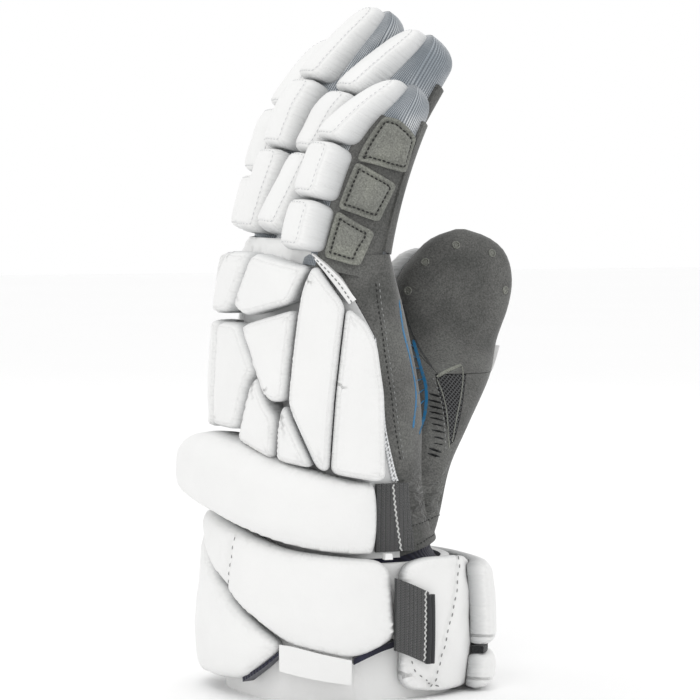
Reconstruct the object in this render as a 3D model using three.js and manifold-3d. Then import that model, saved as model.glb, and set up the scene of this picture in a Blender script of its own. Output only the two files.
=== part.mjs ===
// Padded lacrosse glove for the right hand, standing on the foot of its cuff with the fingers up.
// Lengths in millimetres. +Z runs up the fingers, +X faces out of the palm, -X out of the back of the
// hand, -Y is the little finger side and +Y the thumb side. The origin is in the middle of the footprint.
import * as THREE from "three";
import Module from "manifold-3d";

const wasm = await Module();
wasm.setup();

// Driving sizes.
const handLength = 200; // from the datum of the section table to the finger roots
const handWidth = 100; // across the four fingers
const cuffFoot = 5; // height of the cuff's foot above the datum
const fingerPitch = 24.5; // from finger to finger
const fingerHalf = 12; // half the width of a finger sleeve
const fingerTipRound = 11; // length over which a finger end is rounded
const cornerPower = 0.8333; // squareness of every cross-section
const sides = 24; // facets round the hand and cuff
const palmWall = 2.6; // wall of the hand and thumb shell
const sleeveWall = 2.2; // wall of a finger sleeve
const liningWall = 2.4; // wall of the cuff lining
const wrapThick = 4; // wall of the cuff's inner wrap
const fit = 0.35; // clearance between neighbouring pieces
const seam = 0.35; // half of the groove between two pads
const seat = 0.7; // clearance under a pad on a curved surface
const backPadThick = 14; // pads on the back of the hand
const rollThick = 12; // foam rolls on the fingers
const sidePadThick = 5.2; // suede pads on the side of the little finger
const bandThick = 24; // roll around the wrist
const cuffPadThick = 11; // padded panels of the cuff, above the wrap
const strapThick = 10; // padded wrist strap
const stripThick = 1.5; // suede strips on the palm side of the fingers
const sidePadWide = 0.3; // width of the little finger's side per degree of turn
const webThick = 1.8; // elastic webbing and straps

// Hand form: height as a share of handLength, reach to back, palm and side as shares of handWidth.
const handRows = [
  { up: 0.0, back: 0.455, palm: 0.44, side: 0.44 },
  { up: 0.15, back: 0.475, palm: 0.46, side: 0.46 },
  { up: 0.31, back: 0.45, palm: 0.43, side: 0.47 },
  { up: 0.49, back: 0.425, palm: 0.33, side: 0.475 },
  { up: 0.67, back: 0.42, palm: 0.31, side: 0.49 },
  { up: 0.85, back: 0.4, palm: 0.22, side: 0.5 },
  { up: 0.95, back: 0.37, palm: 0.145, side: 0.5 },
  { up: 1.0, back: 0.35, palm: 0.105, side: 0.495 },
];

// Thumb form: height and centre offset to the palm as shares of handLength, half width and the depths
// towards the little finger (near) and away from it (far) as shares of handWidth.
const thumbTop = 1.05; // height of the thumb tip as a share of handLength
const thumbSide = 0.26; // offset of the thumb towards +Y as a share of handWidth
const thumbRows = [
  { up: 0.34, out: 0.1, wide: 0.195, near: 0.62, far: 0.17 },
  { up: 0.4, out: 0.118, wide: 0.205, near: 0.62, far: 0.18 },
  { up: 0.52, out: 0.145, wide: 0.222, near: 0.6, far: 0.19 },
  { up: 0.61, out: 0.19, wide: 0.245, near: 0.55, far: 0.18 },
  { up: 0.72, out: 0.262, wide: 0.262, near: 0.4, far: 0.165 },
  { up: 0.795, out: 0.299, wide: 0.267, near: 0.22, far: 0.15 },
  { up: 0.868, out: 0.329, wide: 0.278, near: 0.145, far: 0.14 },
  { up: 0.934, out: 0.339, wide: 0.279, near: 0.135, far: 0.135 },
  { up: 0.995, out: 0.353, wide: 0.215, near: 0.115, far: 0.115 },
  { up: 1.03, out: 0.353, wide: 0.129, near: 0.075, far: 0.075 },
  { up: 1.05, out: 0.353, wide: 0.01, near: 0.01, far: 0.01 },
];

// Fingers: place in the row, offset of the root to the palm, lean at root and tip in degrees, length,
// half depth at the root, to the palm at the tip and to the back at the tip (crest).
const fingers = [
  { name: "index", place: 1.5, root: -10, lean: 12, curl: 24, length: 99, deep: 17.5, tip: 14, crest: 6 },
  { name: "middle", place: 0.5, root: -19.5, lean: 16, curl: 31, length: 119, deep: 15.5, tip: 12.5,
    crest: 1 },
  { name: "ring", place: -0.5, root: -18.2, lean: 27, curl: 33, length: 112.5, deep: 17.5, tip: 17,
    crest: 1 },
  { name: "little", place: -1.5, root: -12, lean: 13.5, curl: 32, length: 81, deep: 18.5, tip: 12,
    crest: 1 },
];

// Foam rolls of the fingers: ends of the three rolls as shares of the length, reach to each side.
const rolls = {
  index: { ends: [0.05, 0.3, 0.61, 0.99], near: 0.98, far: 1.25 },
  middle: { ends: [0.03, 0.345, 0.625, 0.99], near: 0.98, far: 0.98 },
  ring: { ends: [0.0, 0.33, 0.615, 0.99], near: 0.98, far: 0.98 },
  little: { ends: [-0.04, 0.22, 0.52, 0.98], near: 1.08, far: 0.98 },
};
const rollFoot = 0.82; // reach of a roll's underside to the little finger side
const rollFootFar = 0.9; // reach of a roll's underside to the thumb side
const rollSink = 2; // the underside starts below the sleeve and is cut to it
const rollBow = 0.2; // drop of a roll's top towards its sides
const rollThin = 0.4; // loss of a roll's thickness at the fingertip

// Pads on the back and side of the hand: corners as [turn in degrees from the middle of the back
// towards the little finger, height as a share of handLength].
const backPads = [
  { name: "back_pad_thumb_upper",
    corners: [[-14, 1.005], [-29, 0.93], [-28, 0.86], [-54, 0.855], [-54, 0.975]] },
  { name: "back_pad_knuckle_edge",
    corners: [[8, 1.005], [-1, 0.87], [-27, 0.862], [-28, 0.93], [-12, 1.005]] },
  { name: "back_pad_knuckle",
    corners: [[10, 1.005], [49, 0.975], [44, 0.935], [41, 0.895], [11, 0.862], [1, 0.885]] },
  { name: "back_pad_centre", corners: [[9, 0.845], [44, 0.885], [41, 0.68], [30, 0.68]] },
  { name: "back_pad_outer", corners: [[-11, 0.848], [-12, 0.61], [-54, 0.595], [-54, 0.845]] },
  { name: "back_pad_middle",
    corners: [[-10, 0.848], [7, 0.848], [22, 0.742], [17, 0.725], [9, 0.612], [-11, 0.612]] },
  { name: "back_pad_lower",
    corners: [[23, 0.738], [30, 0.675], [36, 0.645], [35, 0.565], [10, 0.602], [19, 0.72]] },
  { name: "back_pad_wedge", corners: [[39, 0.675], [41.5, 0.67], [57, 0.55], [36, 0.565], [37, 0.64]] },
  { name: "side_pad_front",
    corners: [[51, 0.985], [70, 0.893], [66.5, 0.7], [64.5, 0.545], [58, 0.55], [42, 0.678], [46, 0.93]] },
  { name: "side_pad_tall",
    corners: [[70, 0.893], [80, 0.858], [85, 0.81], [88, 0.7], [89, 0.518], [64.5, 0.542], [66.5, 0.7]] },
  { name: "thumb_side_pad_upper", corners: [[-56, 0.965], [-92, 0.93], [-94, 0.71], [-56, 0.71]] },
  { name: "thumb_side_pad_lower", corners: [[-56, 0.7], [-94, 0.7], [-92, 0.57], [-56, 0.585]] },
];

// Wrist roll: turn in degrees, lower and upper edge as shares of handLength, thickness as a share of
// bandThick.
const bandRows = [
  { turn: -84, low: 0.4, high: 0.53, thick: 0.7 },
  { turn: -60, low: 0.42, high: 0.565, thick: 0.95 },
  { turn: -38, low: 0.44, high: 0.585, thick: 1.15 },
  { turn: -18, low: 0.438, high: 0.598, thick: 1.15 },
  { turn: -2, low: 0.425, high: 0.6, thick: 1.05 },
  { turn: 14, low: 0.405, high: 0.587, thick: 0.95 },
  { turn: 37, low: 0.378, high: 0.555, thick: 0.85 },
  { turn: 58, low: 0.36, high: 0.53, thick: 0.75 },
  { turn: 76, low: 0.35, high: 0.51, thick: 0.65 },
  { turn: 90, low: 0.348, high: 0.502, thick: 0.5 },
];

// Padded panels of the cuff, drawn like the pads of the hand, with a thickness as a share of cuffPadThick.
const cuffPads = [
  { name: "cuff_side_panel", thick: 1,
    corners: [[-45, 0.425], [-10, 0.418], [7, 0.4], [44, 0.362], [90, 0.338], [92.4, 0.158], [79, 0.122],
      [48, 0.155], [15, 0.237], [-5, 0.3], [-25, 0.362]] },
  { name: "cuff_back_panel", thick: 1,
    corners: [[-74, 0.385], [-48, 0.42], [-26, 0.356], [-6, 0.294], [14, 0.231], [43, 0.159],
      [43, 0.135], [22, 0.068], [0, 0.058], [-30, 0.05], [-74, 0.09]] },
  { name: "wrist_panel", thick: 0.6,
    corners: [[94.3, 0.325], [106, 0.34], [133, 0.335], [168, 0.31], [168, 0.037], [112, 0.037], [94.3, 0.05]] },
  { name: "cuff_thumb_panel", thick: 0.6,
    corners: [[170, 0.31], [228, 0.32], [228, 0.04], [170, 0.037]] },
  { name: "cuff_thumb_back_panel", thick: 0.8,
    corners: [[230, 0.32], [284, 0.37], [284, 0.09], [230, 0.04]] },
];

// Suede pads on the side of the little finger: corners as [turn, share of the finger length].
const sidePads = [
  { name: "suede_side_pad_tip",
    corners: [[58, 0.742], [84, 0.762], [118, 0.721], [124, 0.517], [57, 0.467]] },
  { name: "suede_side_pad_middle",
    corners: [[57, 0.459], [66, 0.463], [113.5, 0.432], [103, 0.2], [53, 0.208]] },
  { name: "suede_side_pad_root",
    corners: [[53, 0.198], [101.5, 0.143], [93, -0.062], [50, -0.048]] },
];

// Looks: colour, roughness and metalness of each material.
const looks = {
  white_leather: [0xf1f2f3, 0.5, 0],
  grey_suede: [0x6c6e70, 0.95, 0],
  light_suede: [0x85888a, 0.95, 0],
  silver_knit: [0xa9b0b6, 0.6, 0],
  mesh: [0x353535, 0.9, 0],
  webbing: [0x55575a, 0.85, 0],
  navy_lining: [0x28283a, 0.9, 0],
};

const rad = (deg) => (deg * Math.PI) / 180;
const power = (v) => Math.sign(v) * Math.abs(v) ** cornerPower;
const range = (n) => Array.from({ length: n }, (_, i) => i);
const spread = (from, to, n) => range(n + 1).map((i) => from + ((to - from) * i) / n);

// Smooth value of every column of a table at a place along its first column.
function readRows(rows, key, at) {
  const place = Math.min(Math.max(at, rows[0][key]), rows[rows.length - 1][key]);
  let i = 0;
  while (i < rows.length - 2 && place > rows[i + 1][key]) i += 1;
  const span = rows[i + 1][key] - rows[i][key];
  const t = (place - rows[i][key]) / span;
  const slope = (j, column) => {
    const a = rows[Math.max(j - 1, 0)];
    const b = rows[Math.min(j + 1, rows.length - 1)];
    return (b[column] - a[column]) / (b[key] - a[key]);
  };
  const found = {};
  for (const column of Object.keys(rows[0])) {
    if (column === key) continue;
    const rise = (t ** 3 - 2 * t ** 2 + t) * span * slope(i, column);
    const fall = (t ** 3 - t ** 2) * span * slope(i + 1, column);
    const hold = (2 * t ** 3 - 3 * t ** 2 + 1) * rows[i][column];
    found[column] = hold + rise + (3 * t ** 2 - 2 * t ** 3) * rows[i + 1][column] + fall;
  }
  return found;
}

// Point on the hand form: turn in degrees, height as a share of handLength, distance out of the surface.
function handPoint(turn, up, out) {
  const row = readRows(handRows, "up", up);
  const c = power(Math.cos(rad(turn)));
  const s = power(Math.sin(rad(turn)));
  const reach = (c > 0 ? row.back : row.palm) * handWidth + out;
  return [-reach * c, -(row.side * handWidth + out) * s, up * handLength];
}

// Point on the thumb form: turn in degrees from the little finger side towards the palm's outside.
function thumbPoint(turn, up, out, share = up) {
  const row = readRows(thumbRows, "up", share);
  const s = power(Math.sin(rad(turn)));
  const c = power(Math.cos(rad(turn)));
  const x = row.out * handLength + (row.wide * handWidth + out) * s;
  const y = thumbSide * handWidth - ((c > 0 ? row.near : row.far) * handWidth + out) * c;
  return [x, y, up * handLength];
}

// Centre line of a finger: a root on the hand and a lean that grows evenly along the length.
function fingerFrame(f, along) {
  const lean = rad(f.lean) + (rad(f.curl - f.lean) * along) / f.length;
  const bend = f.length / rad(f.curl - f.lean);
  const x = f.root + bend * (Math.cos(rad(f.lean)) - Math.cos(lean));
  const z = handLength + bend * (Math.sin(lean) - Math.sin(rad(f.lean)));
  return { x, z, lean };
}

// Narrowing of a finger towards its rounded end.
function fingerEnd(f, along, out) {
  const t = Math.min(Math.max((f.length + out - along) / (fingerTipRound + out), 0), 1);
  return (1 - (1 - t) ** 2.4) ** (1 / 2.4);
}

// Point in a finger's own frame: back is the distance to the back of the finger, side to -Y.
function fingerPlace(f, along, back, side) {
  const frame = fingerFrame(f, along);
  const x = frame.x - back * Math.cos(frame.lean);
  return [x, f.place * fingerPitch - side, frame.z + back * Math.sin(frame.lean)];
}

// Half depth of a finger at a distance along it: even to the palm, to the back thinner over the last half.
function fingerDepth(f, along, toBack) {
  const share = Math.min(Math.max(along, 0), f.length) / f.length;
  if (!toBack) return f.deep + (f.tip - f.deep) * share;
  return f.deep + (f.crest - f.deep) * Math.max(2 * share - 1, 0) ** 1.5;
}

// Point on a finger sleeve.
function fingerPoint(f, turn, along, out) {
  const end = fingerEnd(f, along, out);
  const c = power(Math.cos(rad(turn)));
  const back = (fingerDepth(f, along, c > 0) + out) * end * c;
  return fingerPlace(f, along, back, (fingerHalf + out) * end * power(Math.sin(rad(turn))));
}

// Closed body from points and triangles, turned so that its faces point outwards.
function body(points, faces) {
  let volume = 0;
  for (const [a, b, c] of faces) {
    const p = points[a];
    const q = points[b];
    const r = points[c];
    volume += p[0] * (q[1] * r[2] - q[2] * r[1]) - p[1] * (q[0] * r[2] - q[2] * r[0]);
    volume += p[2] * (q[0] * r[1] - q[1] * r[0]);
  }
  const turned = volume < 0 ? faces.map(([a, b, c]) => [a, c, b]) : faces;
  const mesh = new wasm.Mesh({
    numProp: 3,
    vertProperties: new Float32Array(points.flat()),
    triVerts: new Uint32Array(turned.flat()),
  });
  return new wasm.Manifold(mesh);
}

// Skin between rings of equal length, closed at both ends by a fan.
function ringBody(rings) {
  const points = rings.flat();
  const n = rings[0].length;
  const faces = [];
  for (const k of range(rings.length - 1)) {
    for (const i of range(n)) {
      const j = (i + 1) % n;
      faces.push([k * n + i, k * n + j, (k + 1) * n + j], [k * n + i, (k + 1) * n + j, (k + 1) * n + i]);
    }
  }
  for (const k of [0, rings.length - 1]) {
    const middle = [0, 1, 2].map((axis) => rings[k].reduce((sum, p) => sum + p[axis], 0) / n);
    points.push(middle);
    const m = points.length - 1;
    for (const i of range(n)) {
      const j = (i + 1) % n;
      faces.push(k === 0 ? [k * n + j, k * n + i, m] : [k * n + i, k * n + j, m]);
    }
  }
  return body(points, faces);
}

// Tube whose rings follow a point function.
function tube(point, alongs, sides, out) {
  return ringBody(alongs.map((a) => range(sides).map((i) => point((360 * i) / sides, a, out))));
}

// Curved sheet over a span of turns and a run of places, between two distances out of the surface.
function sheet(point, turns, alongs, low, high) {
  const sections = turns.map((turn) => {
    const inner = alongs.map((a) => point(turn, a, low));
    const outer = alongs.map((a) => point(turn, a, high)).reverse();
    return [...inner, ...outer];
  });
  return stripBody(sections);
}

// Long body from sections, each closed at its ends by facets over paired points.
function stripBody(sections) {
  const points = sections.flat();
  const n = sections[0].length;
  const faces = [];
  for (const k of range(sections.length - 1)) {
    for (const i of range(n)) {
      const j = (i + 1) % n;
      faces.push([k * n + i, k * n + j, (k + 1) * n + j], [k * n + i, (k + 1) * n + j, (k + 1) * n + i]);
    }
  }
  for (const k of [0, sections.length - 1]) {
    for (const i of range(n / 2 - 1)) {
      const a = k * n + i;
      const b = k * n + i + 1;
      const c = k * n + n - 2 - i;
      const d = k * n + n - 1 - i;
      if (k === 0) faces.push([b, a, d], [b, d, c]);
      else faces.push([a, b, d], [b, c, d]);
    }
  }
  return body(points, faces);
}

// Outline of a pad in flat millimetres: moved inwards by half a groove, corners rounded.
function outline(corners, wide, tall, round) {
  const flat = corners.map(([turn, up]) => new THREE.Vector2(turn * wide, up * tall));
  if (THREE.ShapeUtils.isClockWise(flat)) flat.reverse();
  const n = flat.length;
  const inward = flat.map((p, i) => {
    const before = p.clone().sub(flat[(i + n - 1) % n]).normalize();
    const after = flat[(i + 1) % n].clone().sub(p).normalize();
    const lean = new THREE.Vector2(-before.y - after.y, before.x + after.x).normalize();
    const open = Math.max(lean.dot(new THREE.Vector2(-before.y, before.x)), 0.45);
    return p.clone().add(lean.multiplyScalar(seam / open));
  });
  const found = [];
  inward.forEach((p, i) => {
    const before = inward[(i + n - 1) % n];
    const after = inward[(i + 1) % n];
    const cutIn = Math.min(round, p.distanceTo(before) * 0.42);
    const cutOut = Math.min(round, p.distanceTo(after) * 0.42);
    const start = p.clone().lerp(before, cutIn / p.distanceTo(before));
    const stop = p.clone().lerp(after, cutOut / p.distanceTo(after));
    const middle = start.clone().add(stop).multiplyScalar(0.25).addScaledVector(p, 0.5);
    found.push(start, middle, stop);
    const reach = stop.distanceTo(after);
    if (reach > 22) found.push(stop.clone().lerp(after, 0.5 - cutOut / reach / 2));
  });
  return found;
}

// Pillow over an outline: the underside hugs the surface, the top rises in rings to a crown.
const padRings = [
  { shrink: 1, rise: 0.62 },
  { shrink: 0.86, rise: 0.94 },
];
function pad(edge, place, low, high, unders = [0.5, 1]) {
  const n = edge.length;
  const centre = edge.reduce((sum, p) => sum.add(p), new THREE.Vector2()).multiplyScalar(1 / n);
  const at = (p, shrink) => centre.clone().lerp(p, shrink);
  const rings = unders.map((shrink) => edge.map((p) => place(at(p, shrink), low)));
  for (const ring of padRings) {
    rings.push(edge.map((p) => place(at(p, ring.shrink), low + (high - low) * ring.rise)));
  }
  const points = rings.flat();
  const faces = [];
  for (const k of range(rings.length - 1)) {
    for (const i of range(n)) {
      const j = (i + 1) % n;
      faces.push([k * n + i, k * n + j, (k + 1) * n + j], [k * n + i, (k + 1) * n + j, (k + 1) * n + i]);
    }
  }
  points.push(place(centre, low), place(centre, high));
  const last = (rings.length - 1) * n;
  for (const i of range(n)) {
    const j = (i + 1) % n;
    faces.push([j, i, points.length - 2], [last + i, last + j, points.length - 1]);
  }
  return body(points, faces);
}

// Pad on the hand form.
function handPad(corners, low, high, round = 5, unders = [0.5, 1]) {
  const wide = (handWidth * 0.9) / 100;
  const edge = outline(corners, wide, handLength, round);
  return pad(edge, (p, out) => handPoint(p.x / wide, p.y / handLength, out), low, high, unders);
}

// Block between a low and a high corner.
function block(low, high) {
  const spots = range(8).map((i) => [1, 2, 4].map((bit, axis) => (i & bit ? high : low)[axis]));
  const quads = [[0, 2, 3, 1], [4, 5, 7, 6], [0, 1, 5, 4], [2, 6, 7, 3], [0, 4, 6, 2], [1, 3, 7, 5]];
  return body(spots, quads.flatMap(([a, b, c, d]) => [[a, b, c], [a, c, d]]));
}

// Prism over an outline of [x, z] shares of handWidth and handLength, between two places across the hand.
function prism(corners, grow, from, to) {
  const flat = corners.map(([x, z]) => new THREE.Vector2(x * handWidth, z * handLength));
  if (THREE.ShapeUtils.isClockWise(flat)) flat.reverse();
  const n = flat.length;
  const grown = flat.map((p, i) => {
    const before = p.clone().sub(flat[(i + n - 1) % n]).normalize();
    const after = flat[(i + 1) % n].clone().sub(p).normalize();
    const lean = new THREE.Vector2(before.y + after.y, -before.x - after.x).normalize();
    return p.clone().add(lean.multiplyScalar(grow));
  });
  const points = [...grown.map((p) => [p.x, from, p.y]), ...grown.map((p) => [p.x, to, p.y])];
  const faces = THREE.ShapeUtils.triangulateShape(grown, []).flatMap(([a, b, c]) => [
    [a, b, c],
    [a + n, c + n, b + n],
  ]);
  for (const i of range(n)) {
    const j = (i + 1) % n;
    faces.push([i, i + n, j], [j, i + n, j + n]);
  }
  return body(points, faces);
}

const group = new THREE.Group();

// Adds one solid to the glove as a named mesh.
function piece(name, solid, look) {
  const mesh = solid.getMesh();
  const geometry = new THREE.BufferGeometry();
  geometry.setAttribute("position", new THREE.BufferAttribute(new Float32Array(mesh.vertProperties), 3));
  geometry.setIndex(new THREE.BufferAttribute(new Uint32Array(mesh.triVerts), 1));
  geometry.computeVertexNormals();
  const [color, roughness, metalness] = looks[look];
  const added = new THREE.Mesh(geometry, new THREE.MeshStandardMaterial({ color, roughness, metalness }));
  added.name = name;
  group.add(added);
}

// Hand and thumb as one hollow skin, later parted into back, palm, thumb and window.
const shellFoot = 0.335; // lower edge of the hand skin as a share of handLength
const handUps = [0.44, 0.54, 0.64, 0.74, 0.84, 0.93];
const handOuter = tube(handPoint, [shellFoot, ...handUps, 1], sides, 0);
const handInner = tube(handPoint, [shellFoot - 0.02, ...handUps, 1.02], sides, -palmWall);
const thumbUps = [shellFoot, 0.44, 0.54, 0.64, 0.74, 0.84, 0.93, 0.985, 1.018, 1.038, 1.046];
const thumbSides = 14;
const thumbRing = (up, grow, share) =>
  range(thumbSides).map((i) => thumbPoint((360 * i) / thumbSides, up, grow, share));
const thumbShares = spread(0, 1, thumbUps.length - 1);
const thumbTube = (grow) => ringBody(thumbUps.map((up) => thumbRing(up, grow, up)));
const thumbOuter = thumbTube(0);
const thumbSink = palmWall / handLength / thumbTop;
const thumbInner = ringBody(
  thumbUps.map((up, k) => {
    const inside = k === 0 ? up - 0.02 : up - thumbSink * thumbShares[k] * 1.2;
    return thumbRing(inside, k > 7 ? -1 - palmWall * (1 - thumbShares[k]) : -palmWall, up);
  }),
);
const skin = handOuter.add(thumbOuter).subtract(handInner).subtract(thumbInner);

// Seam between the white back and the suede palm, from the fingers down, as shares of handWidth and
// handLength.
const seamLine = [[-0.3, 1.04], [-0.25, 0.98], [-0.125, 0.9], [-0.035, 0.82], [0, 0.708], [0.02, 0.616],
  [0.062, 0.532], [0.083, 0.5], [0.1, 0.3]];
const backSide = [...seamLine, [-1, 0.3], [-1, 1.04]];
const thumbWedge = [[0.1, 1.15], [0.43, 0.725], [1.2, 0.725], [1.2, 1.15]];
const windowShape = [[0.42, 0.7235], [0.56, 0.7235], [0.535, 0.7], [0.5, 0.66], [0.43, 0.58], [0.405, 0.572],
  [0.4, 0.62], [0.408, 0.69]];
const hemCut = [[0.1, 0.32], [0.1, 0.337], [0.6, 0.39], [0.9, 0.39], [0.9, 0.32]];
const across = handWidth;
const backCut = prism(backSide, 0, -across, across);
const thumbCut = prism(thumbWedge, 0, -across, across);
const windowFar = thumbSide * handWidth;
piece("hand_back_base", skin.intersect(backCut), "white_leather");
piece("thumb_sleeve", skin.subtract(backCut).intersect(thumbCut), "grey_suede");
const palmCuts = prism(backSide, fit, -across, across)
  .add(prism(thumbWedge, fit, -across, across))
  .add(prism(windowShape, fit, -across, windowFar + fit))
  .add(prism(hemCut, 0, -across, across));
piece("palm_suede", skin.subtract(palmCuts), "grey_suede");
piece(
  "palm_mesh_window",
  skin.subtract(prism(backSide, fit, -across, across)).subtract(prism(thumbWedge, fit, -across, across))
    .intersect(prism(windowShape, 0, -across, windowFar)),
  "mesh",
);

// Point on a foam roll: p is the place across and along the finger, out the distance above the underside.
function rollPoint(f, roll, p, out) {
  const v = p.x / fingerHalf;
  const reach = v > 0 ? roll.near : roll.far;
  const foot = v > 0 ? Math.min(rollFoot, reach) : rollFootFar;
  const share = Math.min(out / rollThick, 1);
  const side = fingerHalf * v * (foot * (1 - share) + reach * share);
  const end = fingerEnd(f, p.y, 0);
  const depth = fingerDepth(f, p.y, true);
  const lift = Math.min(Math.abs(v) * foot, 1);
  const under = depth * (1 - lift ** (2 / cornerPower)) ** (cornerPower / 2) - rollSink;
  const crown = depth * (1 - rollBow * v * v);
  const thin = 1 - rollThin * Math.max(Math.min((2 * p.y) / f.length - 1, 1), 0);
  const back = (under * (1 - share) + crown * share) * (0.5 + 0.5 * end) + out * thin;
  return fingerPlace(f, p.y, back, side * (0.35 + 0.65 * end));
}

// Finger sleeves, hollow and open at the root, with foam rolls on the back and a suede strip to the palm.
const rootFloor = block([-handWidth, -handWidth, 0], [handWidth, handWidth, handLength + fit]);
const sleeveSides = 14;
const cut = fingerTipRound;
for (const f of fingers) {
  const ends = [-16, 0.12 * f.length, 0.4 * f.length, 0.7 * f.length, f.length - cut];
  const outer = [...ends, f.length - 0.5 * cut, f.length - 0.15 * cut, f.length - 0.01 * cut];
  const inner = [-20, ...outer.slice(1).map((a, i) => a - (i > 2 ? sleeveWall : 0))];
  const point = (turn, along, out) => fingerPoint(f, turn, along, out);
  const full = tube(point, outer, sleeveSides, 0);
  const sleeve = full.subtract(tube(point, inner, sleeveSides, -sleeveWall)).subtract(rootFloor);
  const clear = tube(point, outer, sleeveSides, fit);
  piece(`${f.name}_sleeve`, sleeve, "silver_knit");
  const run = spread(0.06 * f.length, 0.84 * f.length, 3);
  const strip = sheet(point, spread(130, 230, 4), run, seat, seat + stripThick);
  piece(`${f.name}_palm_strip`, strip.subtract(rootFloor), "grey_suede");
  const roll = rolls[f.name];
  ["root", "middle", "tip"].forEach((label, k) => {
    const low = roll.ends[k] * f.length + (k > 0 ? seam : 0);
    const high = roll.ends[k + 1] * f.length - (k < 2 ? seam : 0);
    const square = [[-1, low], [1, low], [1, high], [-1, high]].map(([v, a]) => [v * fingerHalf, a]);
    const edge = outline(square, 1, 1, k === 2 ? 9 : 4);
    const foam = pad(edge, (p, out) => rollPoint(f, roll, p, out), 0, rollThick).subtract(clear);
    piece(`${f.name}_${label}_roll`, foam, "white_leather");
  });
}

// Suede pads on the side of the little finger.
const little = fingers[3];
for (const row of sidePads) {
  const edge = outline(row.corners, sidePadWide, little.length, 3);
  const place = (p, out) => fingerPoint(little, p.x / sidePadWide, p.y, out);
  piece(row.name, pad(edge, place, seat, seat + sidePadThick), "light_suede");
}

// Pads on the back, the side and the thumb side of the hand.
for (const row of backPads) {
  const thin = row.name.startsWith("thumb_side") ? 0.7 : 1;
  piece(row.name, handPad(row.corners, seat, seat + backPadThick * thin), "white_leather");
}

// Pads on the back of the thumb.
const thumbPads = [
  { name: "thumb_tip_pad", corners: [[112, 1.005], [248, 1.005], [248, 0.735], [112, 0.735]] },
  { name: "thumb_base_pad", corners: [[108, 0.725], [196, 0.725], [190, 0.52], [112, 0.52]] },
];
for (const row of thumbPads) {
  const wide = 0.42;
  const edge = outline(row.corners, wide, handLength, 9);
  const place = (p, out) => thumbPoint(p.x / wide, p.y / handLength, out);
  piece(row.name, pad(edge, place, 0, seat + 8).subtract(thumbTube(fit)), "white_leather");
}

// Roll around the wrist: a D-shaped section carried along the table.
const bandSection = [
  { across: 0, rise: 0 },
  { across: 0.33, rise: 0 },
  { across: 0.67, rise: 0 },
  { across: 1, rise: 0 },
  { across: 1.0, rise: 0.45 },
  { across: 0.86, rise: 0.86 },
  { across: 0.5, rise: 1 },
  { across: 0.14, rise: 0.86 },
  { across: 0, rise: 0.45 },
];
const bandTurns = spread(bandRows[0].turn, bandRows[bandRows.length - 1].turn, 14);
const bandRings = bandTurns.map((turn) => {
  const row = readRows(bandRows, "turn", turn);
  return bandSection.map((p) =>
    handPoint(turn, row.low + (row.high - row.low) * p.across, seat + bandThick * row.thick * p.rise),
  );
});
piece("wrist_roll", ringBody(bandRings), "white_leather");

// Elastic webbing that carries the ends of the wrist roll round to the palm.
const webbings = [
  { name: "wrist_elastic", from: 91.2, to: 108, low: 0.35, high: 0.5 },
  { name: "wrist_elastic_thumb_side", from: 266.5, to: 274.5, low: 0.4, high: 0.52 },
];
for (const row of webbings) {
  const turns = spread(row.from, row.to, 3);
  piece(row.name, sheet(handPoint, turns, spread(row.low, row.high, 2), seat, seat + webThick), "webbing");
}

// Cuff: lining, wrap with the flat foot, and padded panels.
const foot = cuffFoot / handLength;
const liningRows = [
  { up: foot + 0.005, out: -fit },
  { up: 0.31, out: -fit },
  { up: 0.335, out: -palmWall - fit * 2 },
  { up: 0.42, out: -palmWall - fit * 2 },
];
const liningRing = (row, out) =>
  range(sides).map((i) => handPoint((360 * i) / sides, row.up, row.out + out));
const liningOuter = ringBody(liningRows.map((row) => liningRing(row, 0)));
const liningSpill = [-0.02, 0, 0, 0.02];
const liningInner = ringBody(
  liningRows.map((row, k) => liningRing({ up: row.up + liningSpill[k], out: row.out }, -liningWall)),
);
piece("cuff_lining", liningOuter.subtract(liningInner), "navy_lining");
const wrapInner = tube(handPoint, [foot - 0.02, 0.31, 0.345], sides, fit);
const wrapUps = [foot, 0.15, 0.325];
piece("cuff_wrap", tube(handPoint, wrapUps, sides, wrapThick).subtract(wrapInner), "white_leather");
const cuffSeat = wrapThick + 1.7 * seat;
for (const row of cuffPads) {
  const turns = row.corners.map(([turn]) => turn);
  const broad = Math.max(...turns) - Math.min(...turns) > 75;
  const unders = broad ? [0.34, 0.68, 1] : [0.5, 1];
  const panel = handPad(row.corners, cuffSeat, cuffSeat + cuffPadThick * row.thick, 6, unders);
  piece(row.name, panel, "white_leather");
}

// Straps and tabs that lie on the cuff: a span of turns and of heights, thickness and look.
const cuffSkin = cuffSeat + cuffPadThick * cuffPads[2].thick + fit;
const tabs = [
  { name: "cuff_elastic_tab", from: 93.6, to: 105.5, low: 0.118, high: 0.285, thick: webThick, steps: 4 },
  { name: "wrist_strap", from: 138, to: 206, low: 0.125, high: 0.315, thick: strapThick, steps: 7 },
  { name: "wrist_strap_tab", from: 136, to: 180, low: 0.03, high: 0.112, thick: strapThick, steps: 5 },
];
for (const row of tabs) {
  const turns = spread(row.from, row.to, row.steps);
  const ups = spread(row.low, row.high, 2);
  const band = sheet(handPoint, turns, ups, cuffSkin, cuffSkin + row.thick);
  piece(row.name, band, row.name === "cuff_elastic_tab" ? "webbing" : "white_leather");
}

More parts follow.
